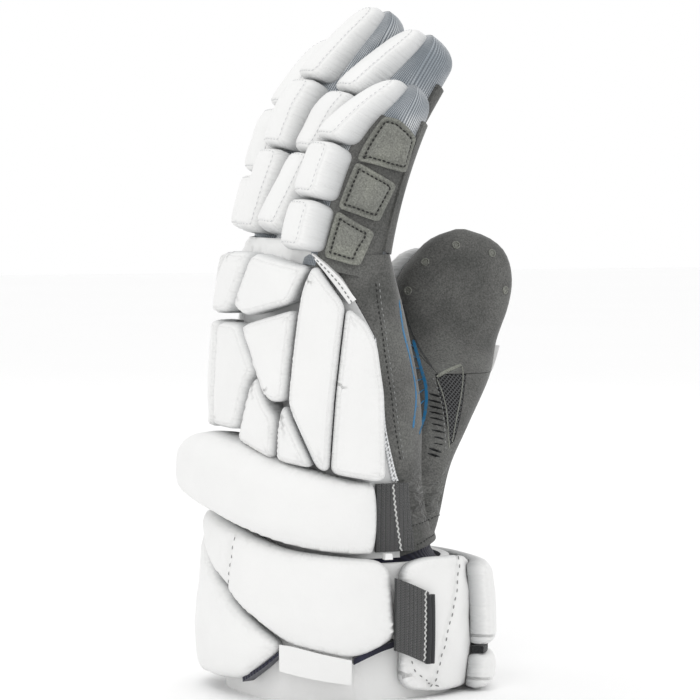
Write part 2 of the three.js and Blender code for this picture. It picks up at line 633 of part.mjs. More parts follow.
// Bare label below the side panel: turn, lower and upper edge as shares of handLength.
const labelEdge = [
  { turn: 43.7, low: 0.096, high: 0.154 },
  { turn: 51, low: 0.089, high: 0.1505 },
  { turn: 64, low: 0.077, high: 0.136 },
  { turn: 77, low: 0.067, high: 0.1215 },
];
const labelSections = spread(labelEdge[0].turn, labelEdge[3].turn, 5).map((turn) => {
  const row = readRows(labelEdge, "turn", turn);
  const inner = [row.low, row.high].map((up) => handPoint(turn, up, cuffSeat + 6));
  const outer = [row.high, row.low].map((up) => handPoint(turn, up, cuffSeat + 7.2));
  return [...inner, ...outer];
});
piece("cuff_label", stripBody(labelSections), "white_leather");

// The glove moves so that the middle of its footprint is the origin.
const bounds = new THREE.Box3().setFromObject(group);
const middle = bounds.getCenter(new THREE.Vector3());
for (const mesh of group.children) mesh.geometry.translate(-middle.x, -middle.y, -bounds.min.z);

export default group;
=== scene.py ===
"""Padded lacrosse glove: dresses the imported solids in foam-backed leather, suede, knit and webbing."""

import math

import bpy
import numpy as np
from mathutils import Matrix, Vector, noise
from mathutils.geometry import delaunay_2d_cdt


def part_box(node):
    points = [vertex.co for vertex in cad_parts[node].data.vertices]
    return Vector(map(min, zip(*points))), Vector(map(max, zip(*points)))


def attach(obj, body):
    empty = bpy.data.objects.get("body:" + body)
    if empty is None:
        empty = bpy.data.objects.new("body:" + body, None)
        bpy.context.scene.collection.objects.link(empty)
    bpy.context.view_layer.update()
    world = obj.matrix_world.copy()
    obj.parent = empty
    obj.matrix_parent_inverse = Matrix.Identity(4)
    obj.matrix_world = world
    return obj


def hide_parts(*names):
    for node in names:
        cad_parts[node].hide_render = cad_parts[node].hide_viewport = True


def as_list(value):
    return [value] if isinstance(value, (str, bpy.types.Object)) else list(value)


bl_info = {
    "name": "Padded lacrosse glove",
    "version": (1, 0, 0),
    "blender": (4, 5, 0),
    "location": "View3D > Sidebar > Glove",
    "description": "Builds the padding, skins, straps and stitching of a lacrosse glove over its solids",
    "category": "Object",
}

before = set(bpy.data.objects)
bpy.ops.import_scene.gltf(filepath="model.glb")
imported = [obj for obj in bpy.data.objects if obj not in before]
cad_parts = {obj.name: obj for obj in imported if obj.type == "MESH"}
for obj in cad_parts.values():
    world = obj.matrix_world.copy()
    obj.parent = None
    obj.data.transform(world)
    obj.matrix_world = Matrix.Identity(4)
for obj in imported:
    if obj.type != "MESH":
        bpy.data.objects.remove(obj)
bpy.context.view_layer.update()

MM = 0.001

# Sizes of the solids, in millimetres; shares are of HAND_LENGTH along the glove and HAND_WIDTH across it.
HAND_LENGTH = 200.0
HAND_WIDTH = 100.0
CUFF_FOOT = 5.0
FINGER_PITCH = 24.5
FINGER_HALF = 12.0
TIP_ROUND = 11.0
CORNER_POWER = 0.8333
PALM_WALL = 2.6
KNIT_WALL = 1.4
LINING_WALL = 2.4
WRAP_THICK = 4.0
CUFF_PAD = 11.0
FIT = 0.35
SEAM = 0.35
SEAT = 0.7
CUFF_SEAT = WRAP_THICK + 1.7 * SEAT
CUFF_SKIN = CUFF_SEAT + 0.6 * CUFF_PAD + FIT
# Shares of the length: foot of the hand's skin, top of the thumb's straight part, tops of the lining and the wrap.
HAND_FOOT, THUMB_STRAIGHT, LINING_TOP, WRAP_TOP = 0.335, 0.985, 0.42, 0.325
# Turns that the suede strip on a finger's palm side and the suede beside the little finger cover.
STRIP_TURNS, BACKING_TURNS = (128, 232), (36, 128.5)
# A UV map holds a tenth of a metre to its unit, and a piece without seams has its rim this far in.
UV_PER_MM = 0.01
NO_SEAM = 8.0
# Turns are stretched to this many millimetres a degree when the pads of the hand and the cuff are laid flat.
FLAT_PER_TURN = 0.9
# The camera looks at this point of the glove, in millimetres before the solids were moved.
VIEW_DATUM = (4.85, 0, 156)

# Thicknesses that the panel offers, in millimetres: label, description and default.
SIZES = {
    "hand_pad": ("Hand pads", "Foam pads on the back of the hand", 14.0),
    "finger_roll": ("Finger rolls", "Foam rolls on the backs of the fingers", 12.0),
    "thumb_pad": ("Thumb pads", "Foam pads on the back of the thumb", 8.0),
    "suede_pad": ("Suede pads", "Stuffed suede beside the little finger", 5.2),
    "wrist_roll": ("Wrist roll", "Roll round the back of the wrist", 24.0),
    "strap": ("Wrist strap", "Padded strap and its tab", 10.0),
    "webbing": ("Webbing", "Woven elastic at the wrist and on the cuff", 1.8),
}
# Colours that the panel offers, as sRGB: label, description and default.
COLOURS = {
    "leather": ("Coated leather", "White leather of the pads and the cuff", (0.937, 0.937, 0.933)),
    "suede": ("Palm suede", "Grey suede of the palm and the thumb", (0.392, 0.392, 0.386)),
    "side_suede": ("Side suede", "Lighter suede beside the little finger", (0.5, 0.504, 0.482)),
    "knit": ("Rib knit", "Silver knit of the fingers", (0.73, 0.75, 0.77)),
    "webbing": ("Webbing", "Grey woven elastic", (0.335, 0.335, 0.335)),
    "lining": ("Lining", "Navy lining of the cuff", (0.157, 0.161, 0.235)),
    "print": ("Print", "Blue silicone print on the palm", (0.078, 0.431, 0.627)),
}
# Sewn lines: pitch, stitch and thread in millimetres, finish and slot. A pitch of 60 is one stitch to a line.
SEWING = {
    "roll_stitches": (2.5, 1.5, 0.42, "thread_seam", "white_leather"),
    "side_pad_stitches": (2.2, 1.6, 0.75, "thread_dark", "light_suede"),
    "white_seams": (2.3, 1.6, 0.6, "thread_grey", "white_leather"),
    "palm_seams_dark": (2.4, 1.6, 0.6, "thread_dark", "grey_suede"),
    "palm_seams_light": (2.6, 1.5, 0.55, "thread_grey", "grey_suede"),
    "webbing_seams": (1.8, 1.2, 0.5, "thread_web", "webbing"),
    "webbing_zigzags": (60, 1.9, 0.8, "thread_white", "webbing"),
    "cuff_seams": (3.6, 1.9, 0.6, "thread_grey", "white_leather"),
    "grip_bars": (60, 6.2, 1.15, "hook", "grey_suede"),
}

# Height, reach to the back, to the palm and to the side.
HAND_ROWS = np.array([
    (0.0, 0.455, 0.44, 0.44), (0.15, 0.475, 0.46, 0.46), (0.31, 0.45, 0.43, 0.47), (0.49, 0.425, 0.33, 0.475),
    (0.67, 0.42, 0.31, 0.49), (0.85, 0.4, 0.22, 0.5), (0.95, 0.37, 0.145, 0.5), (1.0, 0.35, 0.105, 0.495),
])
# Height, offset towards the palm, half width, depth to the near side and to the far side of the thumb.
THUMB_ROWS = np.array([
    (0.34, 0.1, 0.195, 0.62, 0.17), (0.4, 0.118, 0.205, 0.62, 0.18), (0.52, 0.145, 0.222, 0.6, 0.19),
    (0.61, 0.19, 0.245, 0.55, 0.18), (0.72, 0.262, 0.262, 0.4, 0.165), (0.795, 0.299, 0.267, 0.22, 0.15),
    (0.868, 0.329, 0.278, 0.145, 0.14), (0.934, 0.339, 0.279, 0.135, 0.135), (0.995, 0.353, 0.215, 0.115, 0.115),
    (1.03, 0.353, 0.129, 0.075, 0.075), (1.05, 0.353, 0.01, 0.01, 0.01),
])
THUMB_SIDE = 0.26
FINGERS = [
    dict(name="index", place=1.5, root=-10, lean=12, curl=24, length=99, deep=17.5, tip=14, crest=6,
         rolls=(0.05, 0.3, 0.61, 0.99), near=0.98, far=1.25),
    dict(name="middle", place=0.5, root=-19.5, lean=16, curl=31, length=119, deep=15.5, tip=12.5, crest=1,
         rolls=(0.03, 0.345, 0.625, 0.99), near=0.98, far=0.98),
    dict(name="ring", place=-0.5, root=-18.2, lean=27, curl=33, length=112.5, deep=17.5, tip=17, crest=1,
         rolls=(0.0, 0.33, 0.615, 0.99), near=0.98, far=0.98),
    dict(name="little", place=-1.5, root=-12, lean=13.5, curl=32, length=81, deep=18.5, tip=12, crest=1,
         rolls=(-0.04, 0.22, 0.52, 0.98), near=1.08, far=0.98),
]
LITTLE = FINGERS[3]

# Pads of the hand: corners as (turn in degrees from the middle of the back to the little finger side, height).
BACK_PADS = {
    "back_pad_thumb_upper": [(-14, 1.005), (-29, 0.93), (-28, 0.86), (-54, 0.855), (-54, 0.975)],
    "back_pad_knuckle_edge": [(8, 1.005), (-1, 0.87), (-27, 0.862), (-28, 0.93), (-12, 1.005)],
    "back_pad_knuckle": [(10, 1.005), (49, 0.975), (44, 0.935), (41, 0.895), (11, 0.862), (1, 0.885)],
    "back_pad_centre": [(9, 0.845), (44, 0.885), (41, 0.68), (30, 0.68)],
    "back_pad_outer": [(-11, 0.848), (-12, 0.61), (-54, 0.595), (-54, 0.845)],
    "back_pad_middle": [(-10, 0.848), (7, 0.848), (22, 0.742), (17, 0.725), (9, 0.612), (-11, 0.612)],
    "back_pad_lower": [(23, 0.738), (30, 0.675), (36, 0.645), (35, 0.552), (10, 0.59), (19, 0.72)],
    "back_pad_wedge": [(39, 0.675), (41.5, 0.67), (57, 0.537), (36, 0.552), (37, 0.64)],
    "side_pad_front": [(51, 0.985), (70, 0.893), (66.5, 0.7), (64.5, 0.53), (58, 0.537), (42, 0.678), (46, 0.93)],
    "side_pad_tall": [(70, 0.893), (80, 0.858), (85, 0.81), (88, 0.7), (89, 0.505), (64.5, 0.528), (66.5, 0.7)],
    "thumb_side_pad_upper": [(-56, 0.965), (-92, 0.93), (-94, 0.71), (-56, 0.71)],
    "thumb_side_pad_lower": [(-56, 0.7), (-94, 0.7), (-92, 0.57), (-56, 0.585)],
}
# Panels of the cuff: thickness as a share of CUFF_PAD, corners as for the pads of the hand.
CUFF_PADS = {
    "cuff_side_panel": (1.0, [(-45, 0.425), (-10, 0.418), (7, 0.4), (44, 0.362), (90, 0.338), (92.4, 0.158),
                              (79, 0.122), (48, 0.155), (15, 0.237), (-5, 0.3), (-25, 0.362)]),
    "cuff_back_panel": (1.0, [(-74, 0.385), (-48, 0.42), (-26, 0.356), (-6, 0.294), (14, 0.231), (43, 0.159),
                              (43, 0.135), (22, 0.068), (0, 0.058), (-30, 0.05), (-74, 0.09)]),
    "wrist_panel": (0.6, [(94.3, 0.325), (106, 0.34), (133, 0.335), (168, 0.31), (168, 0.037), (112, 0.037),
                          (94.3, 0.05)]),
    "cuff_thumb_panel": (0.6, [(170, 0.31), (228, 0.32), (228, 0.04), (170, 0.037)]),
    "cuff_thumb_back_panel": (0.8, [(230, 0.32), (284, 0.37), (284, 0.09), (230, 0.04)]),
}
# Sewn channels of the cuff's panels, as (turn, height).
CUFF_CHANNELS = {
    "cuff_side_panel": [[(10.5, 0.375), (9.5, 0.3), (6.5, 0.238)]],
    "wrist_panel": [[(134, 0.33), (126, 0.25), (116, 0.15), (110, 0.045)],
                    [(93, 0.135), (99, 0.085), (108, 0.056), (112, 0.048)]],
}
# Pads of the thumb: corners as (turn, height).
THUMB_PADS = {
    "thumb_tip_pad": [(112, 1.005), (248, 1.005), (248, 0.735), (112, 0.735)],
    "thumb_base_pad": [(108, 0.725), (196, 0.725), (190, 0.52), (112, 0.52)],
}
# Suede pads beside the little finger: corners as (turn, share of the finger length).
SUEDE_PADS = {
    "suede_side_pad_tip": [(58, 0.742), (84, 0.762), (118, 0.721), (124, 0.517), (57, 0.467)],
    "suede_side_pad_middle": [(57, 0.459), (66, 0.463), (113.5, 0.432), (103, 0.2), (53, 0.208)],
    "suede_side_pad_root": [(53, 0.198), (101.5, 0.143), (93, -0.062), (50, -0.048)],
}
# Wrist roll: turn, lower edge, upper edge, thickness as a share of BAND.
BAND_ROWS = np.array([
    (-84, 0.4, 0.53, 0.7), (-60, 0.42, 0.565, 0.95), (-38, 0.44, 0.585, 1.15), (-18, 0.438, 0.598, 1.15),
    (-2, 0.425, 0.6, 1.05), (14, 0.405, 0.587, 0.95), (37, 0.378, 0.555, 0.85), (58, 0.36, 0.53, 0.75),
    (76, 0.35, 0.51, 0.65), (90, 0.348, 0.502, 0.5),
])
# Label: turn, lower edge, upper edge.
LABEL_ROWS = np.array([(43.7, 0.096, 0.154), (51, 0.089, 0.1505), (64, 0.077, 0.136), (77, 0.067, 0.1215)])

# Cuts through the hand skin, as (x, z) shares.
SEAM_LINE = [(-0.3, 1.04), (-0.25, 0.98), (-0.125, 0.9), (-0.035, 0.82), (0, 0.708), (0.02, 0.616), (0.062, 0.532),
             (0.083, 0.5), (0.1, 0.3)]
BACK_SIDE = SEAM_LINE + [(-1, 0.3), (-1, 1.04)]
THUMB_WEDGE = [(0.1, 1.15), (0.43, 0.725), (1.2, 0.725), (1.2, 1.15)]
WINDOW = [(0.42, 0.7235), (0.56, 0.7235), (0.535, 0.7), (0.5, 0.66), (0.43, 0.58), (0.405, 0.572), (0.4, 0.62),
          (0.408, 0.69)]
HEM_CUT = [(0.1, 0.32), (0.1, 0.337), (0.6, 0.39), (0.9, 0.39), (0.9, 0.32)]

# The solids were moved so that their footprint is centred: read back from the wrap's box.
WRAP_LOW, WRAP_HIGH = (np.array(corner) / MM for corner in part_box("cuff_wrap"))
SHIFT = np.array([
    WRAP_HIGH[0] - HAND_ROWS[1][2] * HAND_WIDTH - WRAP_THICK,
    (WRAP_LOW[1] + WRAP_HIGH[1]) / 2,
    WRAP_LOW[2] - CUFF_FOOT,
])


def size(key):
    """Thickness set in the panel, in millimetres."""
    return round(getattr(bpy.context.scene.glove_sizes, key) / MM, 3)


# ---- forms -------------------------------------------------------------------------------------------
def rows_at(rows, at):
    """Smooth values of a table's columns at places along its first column."""
    key, values = rows[:, 0], rows[:, 1:]
    slope = np.gradient(values, key, axis=0)
    slope[1:-1] = (values[2:] - values[:-2]) / (key[2:] - key[:-2])[:, None]
    at = np.clip(np.asarray(at, float), key[0], key[-1])
    i = np.clip(np.searchsorted(key, at, side="right") - 1, 0, len(key) - 2)
    span = (key[i + 1] - key[i])[..., None]
    t = (at - key[i])[..., None] / span
    rise = (t**3 - 2 * t**2 + t) * span * slope[i] + (t**3 - t**2) * span * slope[i + 1]
    return (2 * t**3 - 3 * t**2 + 1) * values[i] + (3 * t**2 - 2 * t**3) * values[i + 1] + rise


def corner(v):
    """Power that gives every cross-section its squareness."""
    return np.sign(v) * np.abs(v) ** CORNER_POWER


def moved(x, y, z):
    """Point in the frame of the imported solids, in millimetres."""
    x, y, z = np.broadcast_arrays(x, y, z)
    return np.stack([x, y, z], -1) + SHIFT


def hand_point(turn, up, out=0.0):
    """Point over the hand and the cuff: turn in degrees, up as a share of HAND_LENGTH, out in millimetres."""
    row = rows_at(HAND_ROWS, up)
    c, s = corner(np.cos(np.radians(turn))), corner(np.sin(np.radians(turn)))
    reach = np.where(c > 0, row[..., 0], row[..., 1]) * HAND_WIDTH + out
    return moved(-reach * c, -(row[..., 2] * HAND_WIDTH + out) * s, np.asarray(up) * HAND_LENGTH)


def thumb_point(turn, up, out=0.0):
    """Point over the thumb."""
    row = rows_at(THUMB_ROWS, up)
    c, s = corner(np.cos(np.radians(turn))), corner(np.sin(np.radians(turn)))
    x = row[..., 0] * HAND_LENGTH + (row[..., 1] * HAND_WIDTH + out) * s
    y = THUMB_SIDE * HAND_WIDTH - (np.where(c > 0, row[..., 2], row[..., 3]) * HAND_WIDTH + out) * c
    return moved(x, y, np.asarray(up) * HAND_LENGTH)


def finger_place(f, along, back, side):
    """Point from a finger's centre line: back is the distance to its back, side the one to -Y."""
    first, turn = math.radians(f["lean"]), math.radians(f["curl"] - f["lean"])
    lean = first + turn * along / f["length"]
    bend = f["length"] / turn
    x = f["root"] + bend * (math.cos(first) - np.cos(lean)) - back * np.cos(lean)
    z = HAND_LENGTH + bend * (np.sin(lean) - math.sin(first)) + back * np.sin(lean)
    return moved(x, f["place"] * FINGER_PITCH - side, z)


def finger_end(f, along, out):
    """Share of a finger's girth that is left where its tip rounds off."""
    t = np.clip((f["length"] + out - along) / (TIP_ROUND + out), 0, 1)
    return (1 - (1 - t) ** 2.4) ** (1 / 2.4)


def finger_depth(f, along, to_back=True):
    """Half depth of a finger towards its back or its palm."""
    share = np.clip(along, 0, f["length"]) / f["length"]
    if not to_back:
        return f["deep"] + (f["tip"] - f["deep"]) * share
    return f["deep"] + (f["crest"] - f["deep"]) * np.clip(2 * share - 1, 0, 1) ** 1.5


def finger_point(f, turn, along, out=0.0):
    """Point over a finger's sleeve."""
    end = finger_end(f, along, out)
    c, s = corner(np.cos(np.radians(turn))), corner(np.sin(np.radians(turn)))
    depth = np.where(c > 0, finger_depth(f, along), finger_depth(f, along, False))
    return finger_place(f, along, (depth + out) * end * c, (FINGER_HALF + out) * end * s)


def roll_point(f, across, along, out):
    """Point over the back of a finger: across is in millimetres from its middle."""
    v = across / FINGER_HALF
    reach = np.where(v > 0, f["near"], f["far"])
    share = np.clip(out / size("finger_roll"), 0, 1)
    foot = np.where(v > 0, min(0.82, f["near"]), 0.9)
    side = FINGER_HALF * v * (foot * (1 - share) + reach * share)
    end = finger_end(f, along, 0)
    lift = np.clip(np.abs(v) * foot, 0, 1)
    depth = finger_depth(f, along)
    under = depth * (1 - lift ** (2 / CORNER_POWER)) ** (CORNER_POWER / 2) - 2
    crown = depth * (1 - 0.2 * v * v)
    thin = 1 - 0.4 * np.clip(2 * along / f["length"] - 1, 0, 1)
    back = (under * (1 - share) + crown * share) * (0.5 + 0.5 * end) + out * thin
    return finger_place(f, along, back, side * (0.35 + 0.65 * end))


# ---- flat outlines and their fillings ----------------------------------------------------------------
def area_of(edge):
    """Area of a closed outline, positive when it runs anticlockwise."""
    x, y = edge[:, 0], edge[:, 1]
    return 0.5 * float(np.sum(x * np.roll(y, -1) - y * np.roll(x, -1)))


def resample(line, step, closed=True):
    """Points at an even distance along a line."""
    points = np.vstack([line, line[:1]]) if closed else np.asarray(line)
    lengths = np.linalg.norm(np.diff(points, axis=0), axis=1)
    run = np.concatenate([[0], np.cumsum(lengths)])
    count = max(int(round(run[-1] / step)), 8 if closed else 1)
    at = np.linspace(0, run[-1], count + 1)[: count if closed else count + 1]
    return np.stack([np.interp(at, run, points[:, k]) for k in range(points.shape[1])], -1)


def outline(corners, wide, tall, rounds, step, inset=SEAM):
    """Closed outline in flat millimetres, pulled in by half a groove, with rounded corners."""
    flat = np.array(corners, float) * (wide, tall)
    rounds = np.broadcast_to(rounds, len(flat)).astype(float)
    if area_of(flat) < 0:
        flat, rounds = flat[::-1], rounds[::-1]
    n = len(flat)
    inward = []
    for i in range(n):
        before, after = flat[i] - flat[i - 1], flat[(i + 1) % n] - flat[i]
        before, after = before / np.linalg.norm(before), after / np.linalg.norm(after)
        lean = np.array([-before[1] - after[1], before[0] + after[0]])
        lean /= np.linalg.norm(lean)
        inward.append(flat[i] + lean * inset / max(lean @ (-before[1], before[0]), 0.45))
    found = []
    for i in range(n):
        p, before, after = inward[i], inward[i - 1], inward[(i + 1) % n]
        start = p + (before - p) * min(rounds[i] / np.linalg.norm(before - p), 0.45)
        stop = p + (after - p) * min(rounds[i] / np.linalg.norm(after - p), 0.45)
        for t in np.linspace(0, 1, 7):
            found.append(start * (1 - t) ** 2 + p * 2 * t * (1 - t) + stop * t * t)
    return resample(np.array(found), step)


def edge_distance(edge, points, closed=True):
    """Distance of flat points to a line, and how far along it the nearest place is."""
    start = edge if closed else edge[:-1]
    stop = np.roll(edge, -1, axis=0) if closed else edge[1:]
    span = stop - start
    length = np.linalg.norm(span, axis=1)
    run = np.concatenate([[0], np.cumsum(length)])[:-1]
    gap = points[:, None, :] - start[None]
    t = np.clip((gap * span).sum(-1) / np.maximum(length**2, 1e-12), 0, 1)
    away = np.linalg.norm(gap - t[..., None] * span, axis=-1)
    best = away.argmin(1)
    rows = np.arange(len(points))
    return away[rows, best], run[best] + t[rows, best] * length[best]


def inside(edge, points):
    """Whether each flat point lies inside a closed outline."""
    a, b = edge, np.roll(edge, -1, axis=0)
    x, y = points[:, 0:1], points[:, 1:2]
    crosses = (a[:, 1] > y) != (b[:, 1] > y)
    slope = (b[:, 0] - a[:, 0]) / np.where(b[:, 1] == a[:, 1], 1e-12, b[:, 1] - a[:, 1])
    return (crosses & (x < a[:, 0] + (y - a[:, 1]) * slope)).sum(1) % 2 == 1


def fill(edge, step):
    """Points and triangles that fill a closed outline; the outline's own points come first."""
    low, high = edge.min(0), edge.max(0)
    pitch = step * 0.866
    rows, columns = np.mgrid[0 : int((high[1] - low[1]) / pitch) + 2, 0 : int((high[0] - low[0]) / step) + 2]
    grid = np.stack([low[0] + (columns + 0.5 * (rows % 2)) * step, low[1] + rows * step * 0.866], -1).reshape(-1, 2)
    grid = grid[inside(edge, grid)]
    if len(grid):
        grid = grid[edge_distance(edge, grid)[0] > 0.6 * step]
    points = np.vstack([edge, grid])
    n = len(edge)
    found = delaunay_2d_cdt([Vector(p) for p in points], [(k, (k + 1) % n) for k in range(n)], [], 1, 1e-7)
    back = [o[0] for o in found[3]]
    triangles = np.array([[back[k] for k in face] for face in found[2]])
    a, b, c = (points[triangles[:, k]] for k in range(3))
    turned = (b[:, 0] - a[:, 0]) * (c[:, 1] - a[:, 1]) < (b[:, 1] - a[:, 1]) * (c[:, 0] - a[:, 0])
    triangles[turned] = triangles[turned][:, ::-1]
    return points, triangles


def inset(edge, distance):
    """Closed outline moved inwards by a small distance."""
    along = np.roll(edge, -1, axis=0) - np.roll(edge, 1, axis=0)
    along /= np.linalg.norm(along, axis=1)[:, None]
    return edge + np.stack([-along[:, 1], along[:, 0]], -1) * distance


def rough(points, size, seed):
    """Smooth noise from -1 to 1 at each point, with lumps of that size in millimetres."""
    points = np.asarray(points, float) / size
    third = points[:, 2] if points.shape[1] > 2 else np.zeros(len(points))
    return np.array([noise.noise((x, y, z + seed * 7.31)) for x, y, z in zip(points[:, 0], points[:, 1], third)])


# ---- meshes ------------------------------------------------------------------------------------------
def make_object(name, points, faces, materials, uv=None, rim=None, sharp=None):
    """Mesh object from points in millimetres, with its faces pointing outwards."""
    mesh = bpy.data.meshes.new(name)
    mesh.from_pydata((np.asarray(points) * MM).tolist(), [], [list(map(int, f)) for f in faces])
    if uv is not None:
        loops = np.empty(len(mesh.loops), np.int32)
        mesh.loops.foreach_get("vertex_index", loops)
        layer = mesh.uv_layers.new(name="surface")
        layer.data.foreach_set("uv", np.asarray(uv, float)[loops].ravel())
    if rim is not None:
        mesh.attributes.new("rim", "FLOAT", "POINT").data.foreach_set("value", np.asarray(rim, float))
    return finish_mesh(name, mesh, materials, sharp)


def finish_mesh(name, mesh, materials, sharp=None):
    """Object from a mesh with its materials and its smooth shading."""
    mesh.materials.clear()
    for material in np.atleast_1d(materials):
        mesh.materials.append(material)
    mesh.shade_smooth()
    if sharp:
        mesh.set_sharp_from_angle(angle=math.radians(sharp))
    mesh.update()
    made = bpy.data.objects.new(name, mesh)
    bpy.context.scene.collection.objects.link(made)
    return made


def outward(points, faces):
    """Faces turned so that a closed mesh has a positive volume."""
    points, total = np.asarray(points), 0.0
    for face in faces:
        a = points[face[0]]
        for b, c in zip(face[1:-1], face[2:]):
            total += float(np.dot(a, np.cross(points[b], points[c])))
    return [face[::-1] for face in faces] if total < 0 else faces


def grid_faces(rows, columns, closed=False, first=0):
    """Quads over a grid of points, row by row; a closed grid wraps in each row."""
    faces = []
    for r in range(rows - 1):
        for c in range(columns if closed else columns - 1):
            d = (c + 1) % columns
            a, b = first + r * columns, first + (r + 1) * columns
            faces.append([a + c, a + d, b + d, b + c])
    return faces


def tube_mesh(rings):
    """Closed skin over rings of equal length, with a fan at each end."""
    rings = np.asarray(rings)
    count, n = rings.shape[:2]
    points = np.vstack([rings.reshape(-1, 3), rings[0].mean(0), rings[-1].mean(0)])
    faces = grid_faces(count, n, closed=True)
    for k in range(n):
        j = (k + 1) % n
        faces.append([j, k, count * n])
        faces.append([(count - 1) * n + k, (count - 1) * n + j, count * n + 1])
    return points, outward(points, faces)


def sheet_mesh(place, us, vs, low, high):
    """Closed curved plate over a grid; place(u, v, out) gives its points. The UV map is in millimetres."""
    u, v = np.meshgrid(us, vs)
    rows, columns = u.shape
    top, under = place(u, v, high), place(u, v, low)
    n = rows * columns
    points = np.vstack([top.reshape(-1, 3), under.reshape(-1, 3)])
    faces = grid_faces(rows, columns)
    faces += [face[::-1] for face in grid_faces(rows, columns, first=n)]
    rim = [(0, c) for c in range(columns)] + [(r, columns - 1) for r in range(1, rows)]
    rim += [(rows - 1, c) for c in range(columns - 2, -1, -1)] + [(r, 0) for r in range(rows - 2, 0, -1)]
    ids = [r * columns + c for r, c in rim]
    for a, b in zip(ids, ids[1:] + ids[:1]):
        faces.append([b, a, a + n, b + n])
    across = np.linalg.norm(np.diff(top, axis=1), axis=2)
    along = np.linalg.norm(np.diff(top, axis=0), axis=2)
    uu = np.hstack([np.zeros((rows, 1)), np.cumsum(across, 1)])
    vv = np.vstack([np.zeros((1, columns)), np.cumsum(along, 0)])
    uv = np.stack([uu, vv], -1).reshape(-1, 2)
    return points, outward(points, faces), np.vstack([uv, uv]), (float(uu.max()), float(vv.max()))


def sweep(line, radius, sides=6, closed=False):
    """Round tube along a line of points, closed at its ends."""
    line = np.asarray(line, float)
    if closed:
        tangent = np.roll(line, -1, axis=0) - np.roll(line, 1, axis=0)
    else:
        tangent = np.gradient(line, axis=0)
    tangent /= np.maximum(np.linalg.norm(tangent, axis=1), 1e-9)[:, None]
    side = np.cross(tangent[0], (0.31, 0.77, 0.55))
    frames = []
    for t in tangent:
        side = side - t * (side @ t)
        side /= np.linalg.norm(side)
        frames.append((side, np.cross(t, side)))
    radius = np.broadcast_to(radius, len(line))
    angles = np.linspace(0, 2 * math.pi, sides, endpoint=False)
    rings = np.array([
        [p + r * (math.cos(a) * u + math.sin(a) * v) for a in angles]
        for p, r, (u, v) in zip(line, radius, frames)
    ])
    if not closed:
        return tube_mesh(rings)
    n = len(rings)
    points = rings.reshape(-1, 3)
    first, last = rings[0], rings[-1]
    twist = int(np.argmin([np.linalg.norm(last - np.roll(first, -k, axis=0)) for k in range(sides)]))
    faces = grid_faces(n, sides, closed=True)
    for c in range(sides):
        d = (c + 1) % sides
        faces.append([(n - 1) * sides + c, (n - 1) * sides + d, (d + twist) % sides, (c + twist) % sides])
    return points, outward(points, faces)


def join(parts):
    """One list of points and faces from several."""
    points, faces, count = [], [], 0
    for part_points, part_faces in parts:
        points.append(np.asarray(part_points))
        faces += [[k + count for k in face] for face in part_faces]
        count += len(part_points)
    return np.vstack(points), faces


def pillow(edge, place, step, shoulder, wall=0.5, brow=0.9, under_step=6.0, relief=None, flange=None):
    """Stuffed pad over an outline. place(points, share, lift) puts flat points in space: share runs from 0 on
    the seat to 1 at the crown, lift is in millimetres. Returns points, faces, UV (run, distance) and rim."""
    points, triangles = fill(edge, step)
    n = len(edge)
    away, run = edge_distance(edge, points)
    t = np.clip(away / shoulder, 0, 1)
    share = wall + (brow - wall) * (1 - (1 - t) ** 2.2) ** (1 / 2.2)
    share += (1 - brow) * (1 - (1 - np.clip(away / max(away.max(), 1e-6), 0, 1)) ** 2)
    if flange:
        width, flat = flange
        t = np.clip((away - width) / shoulder, 0, 1)
        hill = flat + (brow - flat) * np.sin(t * math.pi / 2) ** 0.8
        dip = 0.16 * np.exp(-(((away - width) / 0.8) ** 2))
        share = np.where(away < width, flat, hill) - dip
    lift = np.zeros(len(points)) if relief is None else relief(points, away, run)
    top = place(points, share, lift)
    rings, distance = [], []
    for height, back in ((0.0, 0.7), (0.35, 0.15), (0.75, -0.1)):
        rings.append(place(inset(edge, back), np.full(n, wall * height if not flange else flange[1] * height), 0.0))
        distance.append(np.full(n, -1.5 * (1 - height)))
    under_points, under_triangles = fill(inset(edge, 0.7), under_step)
    under = place(under_points[n:], np.zeros(len(under_points) - n), 0.0)
    every = np.vstack([top, *rings, under])
    m = len(top)
    faces = triangles.tolist()
    bases = [m, m + n, m + 2 * n]
    for a, b in zip(bases, bases[1:] + [0]):
        for k in range(n):
            j = (k + 1) % n
            faces.append([a + k, a + j, b + j, b + k])
    lower = np.where(under_triangles < n, under_triangles + m, under_triangles + m + 2 * n)
    faces += lower[:, ::-1].tolist()
    rim = np.concatenate([away, *distance, np.full(len(under), -3.0)])
    edge_run = edge_distance(edge, edge)[1]
    runs = np.concatenate([run, edge_run, edge_run, edge_run, np.zeros(len(under))])
    return every, outward(every, faces), np.stack([runs, rim], -1) * UV_PER_MM, rim


# ---- nodes and materials -----------------------------------------------------------------------------
def linear(colour):
    """Linear colour of an sRGB hex value."""
    parts = [int(colour[k : k + 2], 16) / 255 for k in (1, 3, 5)]
    return [c / 12.92 if c <= 0.04045 else ((c + 0.055) / 1.055) ** 2.4 for c in parts] + [1.0]


